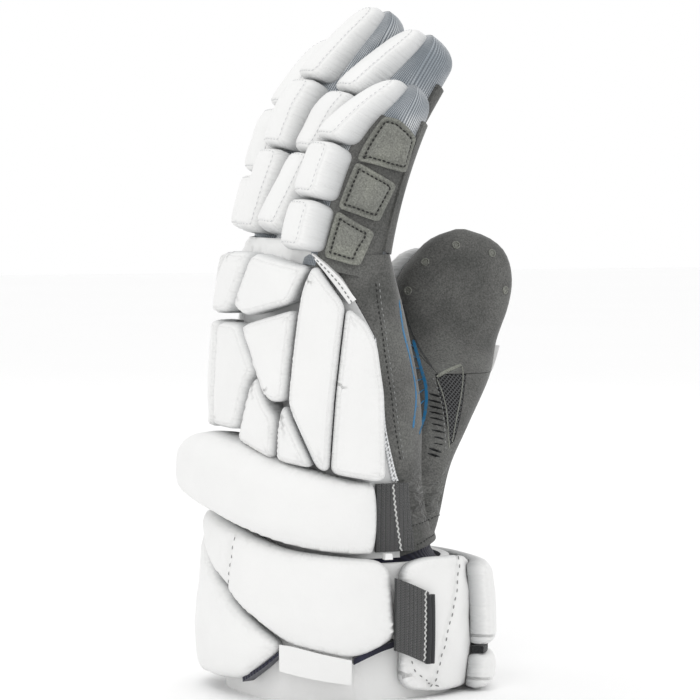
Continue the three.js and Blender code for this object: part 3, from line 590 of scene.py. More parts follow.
def add(tree, kind, sockets=None, stops=None, **settings):
    """Adds a node. settings are its properties; sockets holds numbers, hex colours, materials, nodes or other
    nodes' outputs by socket; stops are a colour ramp's (position, hex colour or grey)."""
    made = tree.nodes.new(kind)
    for key, value in settings.items():
        setattr(made, key, value)
    for key, value in (sockets or {}).items():
        if isinstance(value, bpy.types.Node):
            value = next(socket for socket in value.outputs if socket.enabled)
        if isinstance(value, bpy.types.NodeSocket):
            tree.links.new(value, made.inputs[key])
        else:
            coloured = isinstance(value, str) and value.startswith("#")
            made.inputs[key].default_value = linear(value) if coloured else value
    for k, (position, colour) in enumerate(stops or []):
        elements = made.color_ramp.elements
        element = elements[k] if k < len(elements) else elements.new(position)
        element.position = position
        element.color = linear(colour) if isinstance(colour, str) else (colour, colour, colour, 1.0)
    return made


def surface(name, **values):
    """New material: returns it, its tree, its shader and the Object coordinates."""
    made = bpy.data.materials.new(name)
    made.use_nodes = True
    tree = made.node_tree
    shader = tree.nodes["Principled BSDF"]
    for key, value in values.items():
        shader.inputs[key.replace("_", " ")].default_value = value
    place = add(tree, "ShaderNodeTexCoord").outputs["Object"]
    return made, tree, shader, place


def dress(tree, shader, colour, layers=()):
    """Links the base colour and reliefs laid over each other: each layer is (height, millimetres, strength)."""
    tree.links.new(colour, shader.inputs["Base Color"])
    last = None
    for height, distance, strength in layers:
        sockets = {"Height": height, "Distance": distance * MM, "Strength": strength}
        if last is not None:
            sockets["Normal"] = last
        last = add(tree, "ShaderNodeBump", sockets)
    if last is not None:
        tree.links.new(last.outputs[0], shader.inputs["Normal"])


def coated_leather(name, colour, shade, crease, seam_depth):
    """Polyurethane-coated leather over foam: near white, a soft satin gloss, fine pebble grain, puckers that
    start at the seams, and painted shade that greys the foot of each pad's wall, in the grooves between pads."""
    made, tree, shader, place = surface(name, Roughness=0.48, IOR=1.5, Specular_IOR_Level=0.4)
    rim = add(tree, "ShaderNodeAttribute", attribute_name="rim").outputs["Fac"]
    uv = add(tree, "ShaderNodeUVMap", uv_map="surface")
    broad = add(tree, "ShaderNodeTexNoise", {"Vector": place, "Scale": 1 / (22 * MM), "Detail": 2.0})
    # rim is in millimetres from the pad's outline: -3 at the foot, 0 at the edge
    inward = add(tree, "ShaderNodeMath", {0: rim, 1: 0.1}, operation="MULTIPLY")
    foot = add(tree, "ShaderNodeMath", {0: rim, 1: 0.1, 2: 0.3}, operation="MULTIPLY_ADD")
    # painted shade: the crease colour comes in towards the foot of each wall, down in the grooves between pads
    groove_shade_mask = add(tree, "ShaderNodeValToRGB", {0: foot}, stops=[(0.0, 1.0), (0.2, 0.75), (0.42, 0.0)])
    tone = add(tree, "ShaderNodeMix", {0: broad, 6: colour, 7: shade}, data_type="RGBA")
    groove_shaded = add(tree, "ShaderNodeMix", {0: groove_shade_mask, 6: tone, 7: crease}, data_type="RGBA")
    grain = add(tree, "ShaderNodeTexVoronoi", {"Vector": place, "Scale": 1 / (0.9 * MM)}, feature="SMOOTH_F1")
    # puckers: noise stretched away from the seam, fading over five millimetres
    stretched = add(tree, "ShaderNodeMapping", {"Vector": uv, "Scale": (100 / 2.1, 100 / 9.0, 1.0)})
    pucker = add(tree, "ShaderNodeTexNoise", {"Vector": stretched, "Scale": 1.0, "Detail": 2.0})
    fade = add(tree, "ShaderNodeValToRGB", {0: inward}, stops=[(0.0, 1.0), (0.5, 0.0)])
    tucked = add(tree, "ShaderNodeMath", {0: pucker, 1: fade}, operation="MULTIPLY")
    # groove of the seam that joins the top of a pad to its side wall, 2.2 mm in from the edge
    groove = add(tree, "ShaderNodeValToRGB", {0: inward},
                 stops=[(0.0, 1.0), (0.17, 1.0), (0.215, 0.0), (0.26, 1.0), (1.0, 1.0)])
    wrinkle = add(tree, "ShaderNodeTexNoise",
                  {"Vector": place, "Scale": 1 / (9 * MM), "Detail": 4.0, "Roughness": 0.6})
    dress(tree, shader, groove_shaded.outputs[2],
          [(grain, 0.06, 0.35), (wrinkle, 1.2, 0.28), (tucked, 1.4, 0.8), (groove, seam_depth, 0.9)])
    return made


def suede(name, colour, dark, light):
    """Brushed synthetic suede: matt, a short nap that lies lighter and darker in patches, fine fibre noise, and
    folds across the palm where it gathers above the hem, with painted shade darkening the colour along them."""
    made, tree, shader, place = surface(name, Roughness=0.93, IOR=1.45, Specular_IOR_Level=0.2,
                                        Sheen_Weight=0.25, Sheen_Roughness=0.4)
    nap = add(tree, "ShaderNodeTexNoise", {"Vector": place, "Scale": 1 / (26 * MM), "Detail": 3.0})
    patches = add(tree, "ShaderNodeValToRGB", {0: nap}, stops=[(0.3, dark), (0.5, colour), (0.72, light)])
    fibre = add(tree, "ShaderNodeTexNoise",
                {"Vector": place, "Scale": 1 / (0.8 * MM), "Detail": 2.0, "Roughness": 0.7})
    speckle = add(tree, "ShaderNodeValToRGB", {0: fibre}, stops=[(0.3, 0.6), (0.5, 0.92), (0.72, 1.3)])
    both = add(tree, "ShaderNodeMix", {0: 1.0, 6: patches, 7: speckle}, data_type="RGBA", blend_type="MULTIPLY")
    soft = add(tree, "ShaderNodeTexNoise", {"Vector": place, "Scale": 1 / (11 * MM), "Detail": 3.0})
    # folds: noise flattened along Z, strongest between 70 and 100 mm above the foot
    flat = add(tree, "ShaderNodeMapping", {"Vector": place, "Scale": (1 / (9 * MM), 1 / (9 * MM), 1 / (3.2 * MM))})
    fold = add(tree, "ShaderNodeTexNoise", {"Vector": flat, "Scale": 1.0, "Detail": 2.0, "Distortion": 0.4})
    height = add(tree, "ShaderNodeSeparateXYZ", {0: place})
    tenth = add(tree, "ShaderNodeMath", {0: height.outputs[2], 1: 5.0}, operation="MULTIPLY")
    low = add(tree, "ShaderNodeValToRGB", {0: tenth}, stops=[(0.36, 0.0), (0.42, 1.0), (0.5, 0.3), (0.62, 0.0)])
    gathered = add(tree, "ShaderNodeMath", {0: fold, 1: low}, operation="MULTIPLY")
    # painted shade: the colour darkens where the fold relief is strong
    shaded = add(tree, "ShaderNodeValToRGB", {0: gathered}, stops=[(0.3, 1.0), (0.62, 0.66)])
    tone = add(tree, "ShaderNodeMix", {0: 1.0, 6: both.outputs[2], 7: shaded}, data_type="RGBA",
               blend_type="MULTIPLY")
    dress(tree, shader, tone.outputs[2], [(fibre, 0.35, 0.5), (soft, 1.6, 0.25), (gathered, 8.0, 1.0)])
    return made


def rib_knit(name, colour, dark, light, line_colour, pitch):
    """Lurex-faced rib knit: silver ribs that run along the finger with a darker thread between them."""
    made, tree, shader, place = surface(name, Roughness=0.48, IOR=1.5, Sheen_Weight=0.2, Metallic=0.3)
    split = add(tree, "ShaderNodeSeparateXYZ", {0: add(tree, "ShaderNodeUVMap", uv_map="surface")})
    across = add(tree, "ShaderNodeMath", {0: split.outputs[0], 1: 100 / pitch}, operation="MULTIPLY")
    rib = add(tree, "ShaderNodeMath", {0: across, 1: 0.5}, operation="PINGPONG")
    slant = add(tree, "ShaderNodeMath", {0: split.outputs[1], 1: 100 / pitch, 2: rib}, operation="MULTIPLY_ADD")
    loop = add(tree, "ShaderNodeMath", {0: slant, 1: 0.5}, operation="PINGPONG")
    line = add(tree, "ShaderNodeValToRGB", {0: rib}, stops=[(0.0, 0.0), (0.16, 0.2), (0.34, 1.0)])
    shine = add(tree, "ShaderNodeTexNoise", {"Vector": place, "Scale": 1 / (16 * MM), "Detail": 1.0})
    silver = add(tree, "ShaderNodeValToRGB", {0: shine}, stops=[(0.32, dark), (0.5, colour), (0.68, light)])
    shaded = add(tree, "ShaderNodeMix", {0: line, 6: line_colour, 7: silver}, data_type="RGBA")
    threads = add(tree, "ShaderNodeValToRGB", {0: loop}, stops=[(0.0, 0.8), (0.5, 1.05)])
    woven = add(tree, "ShaderNodeMix", {0: 1.0, 6: shaded, 7: threads}, data_type="RGBA", blend_type="MULTIPLY")
    dress(tree, shader, woven.outputs[2], [(line, 0.3, 0.7), (loop, 0.12, 0.5)])
    return made


def open_mesh(name, pitch):
    """Black tricot mesh: a net of thick yarns, with painted shade of the glove's inside near black in the holes."""
    made, tree, shader, place = surface(name, Roughness=0.85, IOR=1.45)
    turned = add(tree, "ShaderNodeMapping", {"Vector": place, "Rotation": (0.0, math.radians(38), 0.0),
                                             "Scale": (1 / (pitch * MM),) * 3})
    split = add(tree, "ShaderNodeSeparateXYZ", {0: turned})
    one = add(tree, "ShaderNodeMath", {0: split.outputs[0], 1: 0.5}, operation="PINGPONG")
    two = add(tree, "ShaderNodeMath", {0: split.outputs[2], 1: 0.5}, operation="PINGPONG")
    near = add(tree, "ShaderNodeMath", {0: one, 1: two}, operation="MINIMUM")
    yarn = add(tree, "ShaderNodeValToRGB", {0: near}, stops=[(0.0, 1.0), (0.14, 0.8), (0.22, 0.0)])
    # painted shade: the holes between the yarns are coloured near black instead of being open
    tone = add(tree, "ShaderNodeMix", {0: yarn, 6: "#0c0c0d", 7: "#5a5b5c"}, data_type="RGBA")
    dress(tree, shader, tone.outputs[2], [(yarn, 0.6, 0.9)])
    return made


def webbing(name, colour, dark, rib):
    """Woven elastic: columns of herringbone picks with a dark rubber line between the columns."""
    made, tree, shader, _ = surface(name, Roughness=0.8, IOR=1.5, Sheen_Weight=0.15)
    split = add(tree, "ShaderNodeSeparateXYZ", {0: add(tree, "ShaderNodeUVMap", uv_map="surface")})
    across = add(tree, "ShaderNodeMath", {0: split.outputs[0], 1: 50 / rib}, operation="MULTIPLY")
    column = add(tree, "ShaderNodeMath", {0: across, 1: 0.5}, operation="PINGPONG")
    along = add(tree, "ShaderNodeMath", {0: split.outputs[1], 1: 100 / rib}, operation="MULTIPLY")
    slanted = add(tree, "ShaderNodeMath", {0: column, 1: 2.0, 2: along}, operation="MULTIPLY_ADD")
    pick = add(tree, "ShaderNodeMath", {0: slanted, 1: 0.5}, operation="PINGPONG")
    edges = add(tree, "ShaderNodeValToRGB", {0: column}, stops=[(0.0, 0.0), (0.12, 1.0)])
    picks = add(tree, "ShaderNodeValToRGB", {0: pick}, stops=[(0.0, 0.2), (0.3, 1.0)])
    height = add(tree, "ShaderNodeMath", {0: edges, 1: picks}, operation="MULTIPLY")
    tone = add(tree, "ShaderNodeMix", {0: height, 6: dark, 7: colour}, data_type="RGBA")
    dress(tree, shader, tone.outputs[2], [(height, 0.4, 0.8)])
    return made


def tricot(name, colour, dark):
    """Brushed tricot lining: deep navy, a faint vertical rib."""
    made, tree, shader, place = surface(name, Roughness=0.9, IOR=1.45, Sheen_Weight=0.3)
    wave = add(tree, "ShaderNodeTexWave", {"Vector": place, "Scale": 0.314 / (1.6 * MM), "Distortion": 0.6},
               bands_direction="Y")
    tone = add(tree, "ShaderNodeMix", {0: wave.outputs["Fac"], 6: dark, 7: colour}, data_type="RGBA")
    pile = add(tree, "ShaderNodeTexNoise", {"Vector": place, "Scale": 1 / (0.7 * MM)})
    dress(tree, shader, tone.outputs[2], [(wave.outputs["Fac"], 0.3, 0.6), (pile, 0.2, 0.4)])
    return made


def thread(name, colour, dark):
    """Twisted polyester sewing thread: slight gloss, darker between the turns."""
    made, tree, shader, place = surface(name, Roughness=0.55, IOR=1.5)
    twist = add(tree, "ShaderNodeTexNoise", {"Vector": place, "Scale": 1 / (0.5 * MM), "Detail": 1.0})
    tone = add(tree, "ShaderNodeMix", {0: twist, 6: dark, 7: colour}, data_type="RGBA")
    dress(tree, shader, tone.outputs[2], [(twist, 0.1, 0.5)])
    return made


def printed_silicone(name, colour, worn):
    """Screen-printed silicone grip: a soft blue gloss, rubbed thin over the suede in spots."""
    made, tree, shader, place = surface(name, Roughness=0.42, IOR=1.43)
    wear = add(tree, "ShaderNodeTexNoise", {"Vector": place, "Scale": 1 / (1.6 * MM), "Detail": 3.0})
    rubbed = add(tree, "ShaderNodeValToRGB", {0: wear}, stops=[(0.38, worn), (0.52, colour)])
    dress(tree, shader, rubbed.outputs[0], [(wear, 0.1, 0.4)])
    return made


def woven_tape(name, colour, dark):
    """White woven binding tape: slanted picks, matt."""
    made, tree, shader, _ = surface(name, Roughness=0.75, IOR=1.5)
    split = add(tree, "ShaderNodeSeparateXYZ", {0: add(tree, "ShaderNodeUVMap", uv_map="surface")})
    total = add(tree, "ShaderNodeMath", {0: split.outputs[0], 1: split.outputs[1]}, operation="ADD")
    slanted = add(tree, "ShaderNodeMath", {0: total, 1: 100 / 1.5}, operation="MULTIPLY")
    pick = add(tree, "ShaderNodeMath", {0: slanted, 1: 0.5}, operation="PINGPONG")
    ridge = add(tree, "ShaderNodeValToRGB", {0: pick}, stops=[(0.0, 0.0), (0.25, 1.0)])
    tone = add(tree, "ShaderNodeMix", {0: ridge, 6: dark, 7: colour}, data_type="RGBA")
    dress(tree, shader, tone.outputs[2], [(pick, 0.4, 0.7)])
    return made


def plain_floor(name, colour, other):
    """Matt painted studio floor with the faintest unevenness."""
    made, tree, shader, place = surface(name, Roughness=0.9, IOR=1.45)
    cloud = add(tree, "ShaderNodeTexNoise", {"Vector": place, "Scale": 2.5})
    tone = add(tree, "ShaderNodeMix", {0: cloud, 6: colour, 7: other}, data_type="RGBA")
    dress(tree, shader, tone.outputs[2])
    return made


MATERIALS = {}


def build_materials(look):
    """One set of materials for the whole glove, from the panel's colours."""
    hexed = {key: "#%02x%02x%02x" % tuple(round(255 * c) for c in getattr(look, key)) for key in COLOURS}
    MATERIALS.update(
        # the third colour of each leather is its painted shade in the grooves between pads
        leather=coated_leather("coated_leather_white", hexed["leather"], "#e8e8e7", "#c0c2c3", 0.22),
        leather_plain=coated_leather("coated_leather_panel", hexed["leather"], "#e8e8e7", "#a0a2a3", 0.01),
        suede=suede("brushed_suede_grey", hexed["suede"], "#525351", "#70716e"),
        # darker suede for the painted shade along the thumb's crease
        suede_dark=suede("brushed_suede_crease_shade", "#4c4d4d", "#404141", "#585959"),
        suede_light=suede("brushed_suede_ash", hexed["side_suede"], "#7d7f79", "#97998f"),
        knit=rib_knit("rib_knit_silver", hexed["knit"], "#929aa1", "#eceeef", "#6a7178", 1.15),
        mesh=open_mesh("tricot_mesh_black", 1.3),
        webbing=webbing("woven_elastic_grey", hexed["webbing"], "#2c2d2f", 1.1),
        lining=tricot("brushed_tricot_navy", hexed["lining"], "#191927"),
        thread_white=thread("sewing_thread_white", "#f0f0ee", "#c9cac9"),
        thread_seam=thread("sewing_thread_pale", "#dcdddd", "#c2c4c5"),
        thread_dark=thread("sewing_thread_black", "#232322", "#111111"),
        thread_grey=thread("sewing_thread_grey", "#a3a4a3", "#5c5d5d"),
        thread_web=thread("sewing_thread_webbing", "#707171", "#3c3d3d"),
        print=printed_silicone("printed_silicone_blue", hexed["print"], "#3f6a86"),
        tape=woven_tape("woven_tape_white", "#e9eaeb", "#a9acb0"),
        hook=suede("hook_pile_black", "#2b2c2d", "#1b1b1c", "#3a3b3c"),
    )


# ---- Geometry Nodes ----------------------------------------------------------------------------------
def run_tree(name, points, edges, tree, values, materials, facing=None):
    """Plain mesh from a node tree that works on lines or loose points, in millimetres."""
    mesh = bpy.data.meshes.new(name + "_line")
    mesh.from_pydata((np.asarray(points) * MM).tolist(), edges, [])
    if facing is not None:
        mesh.attributes.new("facing", "FLOAT_VECTOR", "POINT").data.foreach_set("vector", np.ravel(facing))
    line = bpy.data.objects.new(name + "_line", mesh)
    bpy.context.scene.collection.objects.link(line)
    modifier = line.modifiers.new("tree", "NODES")
    modifier.node_group = tree
    sockets = {s.name: s.identifier for s in tree.interface.items_tree if s.in_out == "INPUT"}
    for key, value in values.items():
        modifier[sockets[key]] = value
    depsgraph = bpy.context.evaluated_depsgraph_get()
    result = bpy.data.meshes.new_from_object(line.evaluated_get(depsgraph), depsgraph=depsgraph)
    line.modifiers.remove(modifier)
    bpy.data.objects.remove(line)
    bpy.data.meshes.remove(mesh)
    result.name = name
    return finish_mesh(name, result, materials, 50)


def new_tree(name, sockets):
    """Empty node tree with named inputs; returns it, its input node and its output node."""
    tree = bpy.data.node_groups.new(name, "GeometryNodeTree")
    tree.interface.new_socket("Geometry", in_out="INPUT", socket_type="NodeSocketGeometry")
    for label, kind, default in sockets:
        made = tree.interface.new_socket(label, in_out="INPUT", socket_type=kind)
        if default is not None:
            made.default_value = default
    tree.interface.new_socket("Geometry", in_out="OUTPUT", socket_type="NodeSocketGeometry")
    return tree, tree.nodes.new("NodeGroupInput"), tree.nodes.new("NodeGroupOutput")


def stitch_tree():
    """Stitches at an even pitch along lines: a short rounded thread for each, turned along its line."""
    tree, given, out = new_tree("running_stitches", [
        ("Pitch", "NodeSocketFloat", 0.003), ("Length", "NodeSocketFloat", 0.002),
        ("Thread", "NodeSocketFloat", 0.0006), ("Material", "NodeSocketMaterial", None),
    ])
    curve = add(tree, "GeometryNodeMeshToCurve", {"Mesh": given.outputs["Geometry"]})
    even = add(tree, "GeometryNodeResampleCurve", {"Curve": curve, "Length": given.outputs["Pitch"]}, mode="LENGTH")
    bead = add(tree, "GeometryNodeMeshUVSphere", {"Segments": 6, "Rings": 5, "Radius": 0.5})
    tangent = add(tree, "GeometryNodeInputTangent")
    along = add(tree, "FunctionNodeAlignRotationToVector", {"Vector": tangent}, axis="X")
    size = add(tree, "ShaderNodeCombineXYZ", {"X": given.outputs["Length"], "Y": given.outputs["Thread"],
                                              "Z": given.outputs["Thread"]})
    placed = add(tree, "GeometryNodeInstanceOnPoints",
                 {"Points": even, "Instance": bead.outputs[0], "Rotation": along, "Scale": size})
    real = add(tree, "GeometryNodeRealizeInstances", {0: placed})
    painted = add(tree, "GeometryNodeSetMaterial", {"Geometry": real, "Material": given.outputs["Material"]})
    tree.links.new(painted.outputs[0], out.inputs[0])
    return tree


def ring_tree():
    """Rings that lie on a surface: one at each point, turned to its facing, with a dark disc of painted shade
    inside.
    """
    tree, given, out = new_tree("punched_rings", [
        ("Radius", "NodeSocketFloat", 0.0018), ("Wire", "NodeSocketFloat", 0.0004),
        ("Material", "NodeSocketMaterial", None), ("Hole", "NodeSocketMaterial", None),
    ])
    named = add(tree, "GeometryNodeInputNamedAttribute", {"Name": "facing"}, data_type="FLOAT_VECTOR")
    turned = add(tree, "FunctionNodeAlignRotationToVector", {"Vector": named}, axis="Z")
    circle = add(tree, "GeometryNodeCurvePrimitiveCircle", {"Resolution": 20, "Radius": given.outputs["Radius"]})
    wire = add(tree, "GeometryNodeCurvePrimitiveCircle", {"Resolution": 8, "Radius": given.outputs["Wire"]})
    ring = add(tree, "GeometryNodeCurveToMesh", {"Curve": circle, "Profile Curve": wire})
    shown = add(tree, "GeometryNodeSetMaterial", {"Geometry": ring, "Material": given.outputs["Material"]})
    # painted shade: a flattened disc in the Hole material stands for the open hole
    inner = add(tree, "GeometryNodeMeshUVSphere", {"Segments": 16, "Rings": 8, "Radius": given.outputs["Radius"]})
    flat = add(tree, "GeometryNodeTransform", {"Geometry": inner.outputs[0], "Scale": (0.72, 0.72, 0.12)})
    dark = add(tree, "GeometryNodeSetMaterial", {"Geometry": flat, "Material": given.outputs["Hole"]})
    both = tree.nodes.new("GeometryNodeJoinGeometry")
    tree.links.new(shown.outputs[0], both.inputs[0])
    tree.links.new(dark.outputs[0], both.inputs[0])
    placed = add(tree, "GeometryNodeInstanceOnPoints",
                 {"Points": given.outputs["Geometry"], "Instance": both, "Rotation": turned})
    real = add(tree, "GeometryNodeRealizeInstances", {0: placed})
    tree.links.new(real.outputs[0], out.inputs[0])
    return tree


def sew(name, lines, closed=False):
    """Running stitches over several lines as one finished piece, as the table of sewing says."""
    pitch, length, thread_size, look, slot = SEWING[name]
    points, edges, count = [], [], 0
    for line in lines:
        n = len(line)
        if n < 2:
            continue
        points.append(line)
        edges += [(count + i, count + i + 1) for i in range(n - 1)]
        if closed:
            edges.append((count + n - 1, count))
        count += n
    tree = bpy.data.node_groups.get("running_stitches") or stitch_tree()
    values = {"Pitch": pitch * MM, "Length": length * MM, "Material": MATERIALS[look],
              "Thread": thread_size * MM * bpy.context.scene.glove_sizes.thread}
    return seat_piece(run_tree(name, np.vstack(points), edges, tree, values, MATERIALS[look]), slot)


def zigzag(line, width, pitch, side):
    """Slanted threads over a line: each is a short line that starts at the thread's middle."""
    even = resample(line, pitch, closed=False)
    across = np.asarray(side, float) / np.linalg.norm(side)
    found = []
    for k in range(len(even) - 1):
        way = (even[k + 1] - even[k]) + across * width * (1 if k % 2 else -1)
        middle = (even[k] + even[k + 1]) / 2
        found.append(np.array([middle, middle + way / np.linalg.norm(way) * 0.2]))
    return found


# ---- pieces ------------------------------------------------------------------------------------------
def seat_piece(made, slot, *nodes, padded=None, sheet=None):
    """Rides a finished piece on the root and hides the solids that it stands for."""
    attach(made, "root")
    if nodes:
        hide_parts(*nodes)
    if sheet is not None:
        flat, held, rests_on = sheet
        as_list(rests_on)
    return made


def hand_place(low, high):
    """Puts flat points of the hand's pads over the hand form."""

    def place(points, share, lift):
        turn = points[:, 0] / FLAT_PER_TURN
        return hand_point(turn, points[:, 1] / HAND_LENGTH, low + (high - low) * share + lift)

    return place


def wrinkles(seed, fine=0.35, broad=0.5, edge=0.7):
    """Relief of stuffed leather: broad dimples, finer creases, and puckers that run in from the edge."""

    def relief(points, away, run):
        near = np.exp(-((away / 3.2) ** 2)) * (away > 0.05)
        folds = rough(np.stack([run / 2.6, away / 9.0, np.zeros_like(run)], -1), 1.0, seed)
        broadly = rough(points, 17.0, seed + 1)
        finely = rough(points, 6.0, seed + 2)
        return edge * near * folds + (broad * broadly + fine * finely) * np.clip(away / 4.0, 0, 1)

    return relief


def pad(name, node, edge, place, step, shoulder, relief, look="leather", slot="white_leather", filling=0.7,
        **profile):
    """Stuffed pad over a flat outline, as a finished piece that stands for a node."""
    points, faces, uv, rim = pillow(edge, place, step, shoulder, relief=relief, **profile)
    made = make_object(name, points, faces, [MATERIALS[look]], uv=uv, rim=rim)
    return seat_piece(made, slot, node, padded=filling)


def plate(name, at, us, vs, low, high, look, sharp=50):
    """Thin plate over a grid, and its flat size in millimetres."""
    points, faces, uv, flat = sheet_mesh(at, us, vs, low, high)
    rim = np.full(len(points), NO_SEAM)
    return make_object(name, points, faces, [MATERIALS[look]], uv=uv * UV_PER_MM, rim=rim, sharp=sharp), flat


def carve(name, solid, steps):
    """Object cut or joined with others in turn; steps are (operation, object)."""
    for operation, cutter in steps:
        modifier = solid.modifiers.new("cut", "BOOLEAN")
        modifier.operation = operation
        modifier.solver = "MANIFOLD"
        modifier.object = cutter
    bpy.context.view_layer.update()
    depsgraph = bpy.context.evaluated_depsgraph_get()
    mesh = bpy.data.meshes.new_from_object(solid.evaluated_get(depsgraph), depsgraph=depsgraph)
    made = bpy.data.objects.new(name, mesh)
    bpy.context.scene.collection.objects.link(made)
    solid.modifiers.clear()
    return made


def loose(name, mesh_data):
    """Helper solid that is cut or cuts, and is removed afterwards."""
    return make_object(name, *mesh_data, [MATERIALS["leather"]])


def prism(name, corners, grow, y_from, y_to):
    """Prism over an outline of (x, z) shares, between two places across the hand."""
    flat = np.array(corners, float) * (HAND_WIDTH, HAND_LENGTH)
    if area_of(flat) < 0:
        flat = flat[::-1]
    if grow:
        flat = np.array(list(grown(flat, grow)))
    n = len(flat)
    points = [moved(x, y_from, z) for x, z in flat] + [moved(x, y_to, z) for x, z in flat]
    _, triangles = fill(flat, 1e4)
    faces = [list(t) for t in triangles] + [[k + n for k in t[::-1]] for t in triangles]
    for i in range(n):
        j = (i + 1) % n
        faces.append([j, i, i + n, j + n])
    return loose(name, (np.array(points), outward(points, faces)))


def grown(flat, grow):
    """Corners of an outline moved outwards."""
    n = len(flat)
    for i in range(n):
        before, after = flat[i] - flat[i - 1], flat[(i + 1) % n] - flat[i]
        before, after = before / np.linalg.norm(before), after / np.linalg.norm(after)
        lean = np.array([before[1] + after[1], -before[0] - after[0]])
        yield flat[i] + lean / np.linalg.norm(lean) * grow


def build_shell():
    """Hand and thumb skin, parted into the back, the suede palm, the thumb and the mesh window."""
    turns = np.linspace(0, 360, 96, endpoint=False)
    ups = np.linspace(HAND_FOOT, 1.0, 56)
    outer = loose("skin_outer", tube_mesh([hand_point(turns, up, 0.0) for up in ups]))
    ups_in = np.concatenate([[HAND_FOOT - 0.02], ups[1:-1], [1.02]])
    inner = loose("skin_inner", tube_mesh([hand_point(turns, up, -PALM_WALL) for up in ups_in]))
    around = np.linspace(0, 360, 64, endpoint=False)
    thumb_ups = np.concatenate([np.linspace(HAND_FOOT, THUMB_STRAIGHT, 48),
                                [1.0, 1.014, 1.026, 1.036, 1.043, 1.048]])
    thumb = loose("thumb_outer", tube_mesh([thumb_point(around, up, 0.0) for up in thumb_ups]))
    lower = np.concatenate([[HAND_FOOT - 0.02], thumb_ups[1:-6], np.linspace(THUMB_STRAIGHT, 1.02, 5)])
    hollow = loose("thumb_inner", tube_mesh([thumb_point(around, up, -PALM_WALL) for up in lower]))
    across = HAND_WIDTH
    back_cut = prism("back_cut", BACK_SIDE, 0, -across, across)
    back_wide = prism("back_wide", BACK_SIDE, FIT, -across, across)
    thumb_cut = prism("thumb_cut", THUMB_WEDGE, 0, -across, across)
    thumb_wide = prism("thumb_wide", THUMB_WEDGE, FIT, -across, across)
    window_far = THUMB_SIDE * HAND_WIDTH
    window_cut = prism("window_cut", WINDOW, 0, -across, window_far)
    window_wide = prism("window_wide", WINDOW, FIT, -across, window_far + FIT)
    hem = prism("hem_cut", HEM_CUT, 0, -across, across)
    skin = carve("skin", outer, [("UNION", thumb), ("DIFFERENCE", inner), ("DIFFERENCE", hollow)])
    parts = {
        "hand_back_base": [("INTERSECT", back_cut)],
        "thumb_sleeve": [("DIFFERENCE", back_cut), ("INTERSECT", thumb_cut)],
        "palm_suede": [("DIFFERENCE", back_wide), ("DIFFERENCE", thumb_wide), ("DIFFERENCE", window_wide),
                       ("DIFFERENCE", hem)],
        "palm_mesh_window": [("DIFFERENCE", back_wide), ("DIFFERENCE", thumb_wide), ("INTERSECT", window_cut)],
    }
    looks = {"hand_back_base": ("leather_plain", "white_leather"), "thumb_sleeve": ("suede", "grey_suede"),
             "palm_suede": ("suede", "grey_suede"), "palm_mesh_window": ("mesh", "mesh")}
    for node, steps in parts.items():
        cut = carve(node + "_cut", skin, steps)
        look, slot = looks[node]
        made = finish_mesh(node + "_skin", cut.data.copy(), MATERIALS[look], 35)
        bpy.data.objects.remove(cut)
        seat_piece(made, slot, node)
    for spare in (outer, inner, thumb, hollow, back_cut, back_wide, thumb_cut, thumb_wide, window_cut, window_wide,
                  hem, skin):
        bpy.data.objects.remove(spare)


def build_fingers():
    """Knit sleeves, each with a suede strip on its palm side."""
    turns = np.linspace(0, 360, 56, endpoint=False)
    for f in FINGERS:
        length = f["length"]
        straight = np.linspace(-8.0, length - TIP_ROUND, 44)
        cap = length - TIP_ROUND * (1 - np.sin(np.linspace(0, math.pi / 2, 12)[1:-1]))
        alongs = np.concatenate([straight, cap, [length - 0.02]])
        outer = np.array([finger_point(f, turns, a, 0.0) for a in alongs])
        inner = np.array([finger_point(f, turns, a - (KNIT_WALL if a > length - TIP_ROUND else 0), -KNIT_WALL)
                          for a in alongs])
        count, n = outer.shape[:2]
        points, faces = two_walls(outer, inner)
        last = (count - 1) * n
        points = np.vstack([points, outer[-1].mean(0), inner[-1].mean(0)])
        for k in range(n):
            j = (k + 1) % n
            faces.append([last + k, last + j, 2 * count * n])
            faces.append([count * n + last + j, count * n + last + k, 2 * count * n + 1])
        around = 2 * math.pi * (FINGER_HALF + f["deep"]) / 2
        uv = np.stack(np.broadcast_arrays(turns[None, :] / 360 * around, alongs[:, None]), -1)
        uv = uv.reshape(-1, 2) * UV_PER_MM
        made = make_object(f["name"] + "_knit", points, outward(points, faces), [MATERIALS["knit"]],
                           uv=np.vstack([uv, uv, uv[-2:]]), sharp=60)
        fix_wrap(made, around * UV_PER_MM)
        seat_piece(made, "silver_knit", f["name"] + "_sleeve")
        strip = sheet_mesh(lambda u, v, out: finger_point(f, u, v, out), np.linspace(*STRIP_TURNS, 25),
                           np.linspace(max(0.06 * length, 2), 0.83 * length, 40), SEAT * 0.3, SEAT + 0.9)
        made = make_object(f["name"] + "_palm_suede", strip[0], strip[1], [MATERIALS["suede"]], sharp=50)
        seat_piece(made, "grey_suede", f["name"] + "_palm_strip")


def two_walls(outer, inner):
    """Tube with an outside and an inside of equal rings, joined at its lower end."""
    count, n = outer.shape[:2]
    points = np.vstack([outer.reshape(-1, 3), inner.reshape(-1, 3)])
    faces = grid_faces(count, n, closed=True)
    faces += [face[::-1] for face in grid_faces(count, n, closed=True, first=count * n)]
    for k in range(n):
        j = (k + 1) % n
        faces.append([j, k, count * n + k, count * n + j])
    return points, faces


def fix_wrap(made, around):
    """UVs of the faces that close a tube continue past its last column."""
    layer = made.data.uv_layers[0].data
    for face in made.data.polygons:
        values = [layer[k].uv[0] for k in face.loop_indices]
        if max(values) - min(values) > around / 2:
            for k in face.loop_indices:
                if layer[k].uv[0] < around / 2:
                    layer[k].uv[0] += around


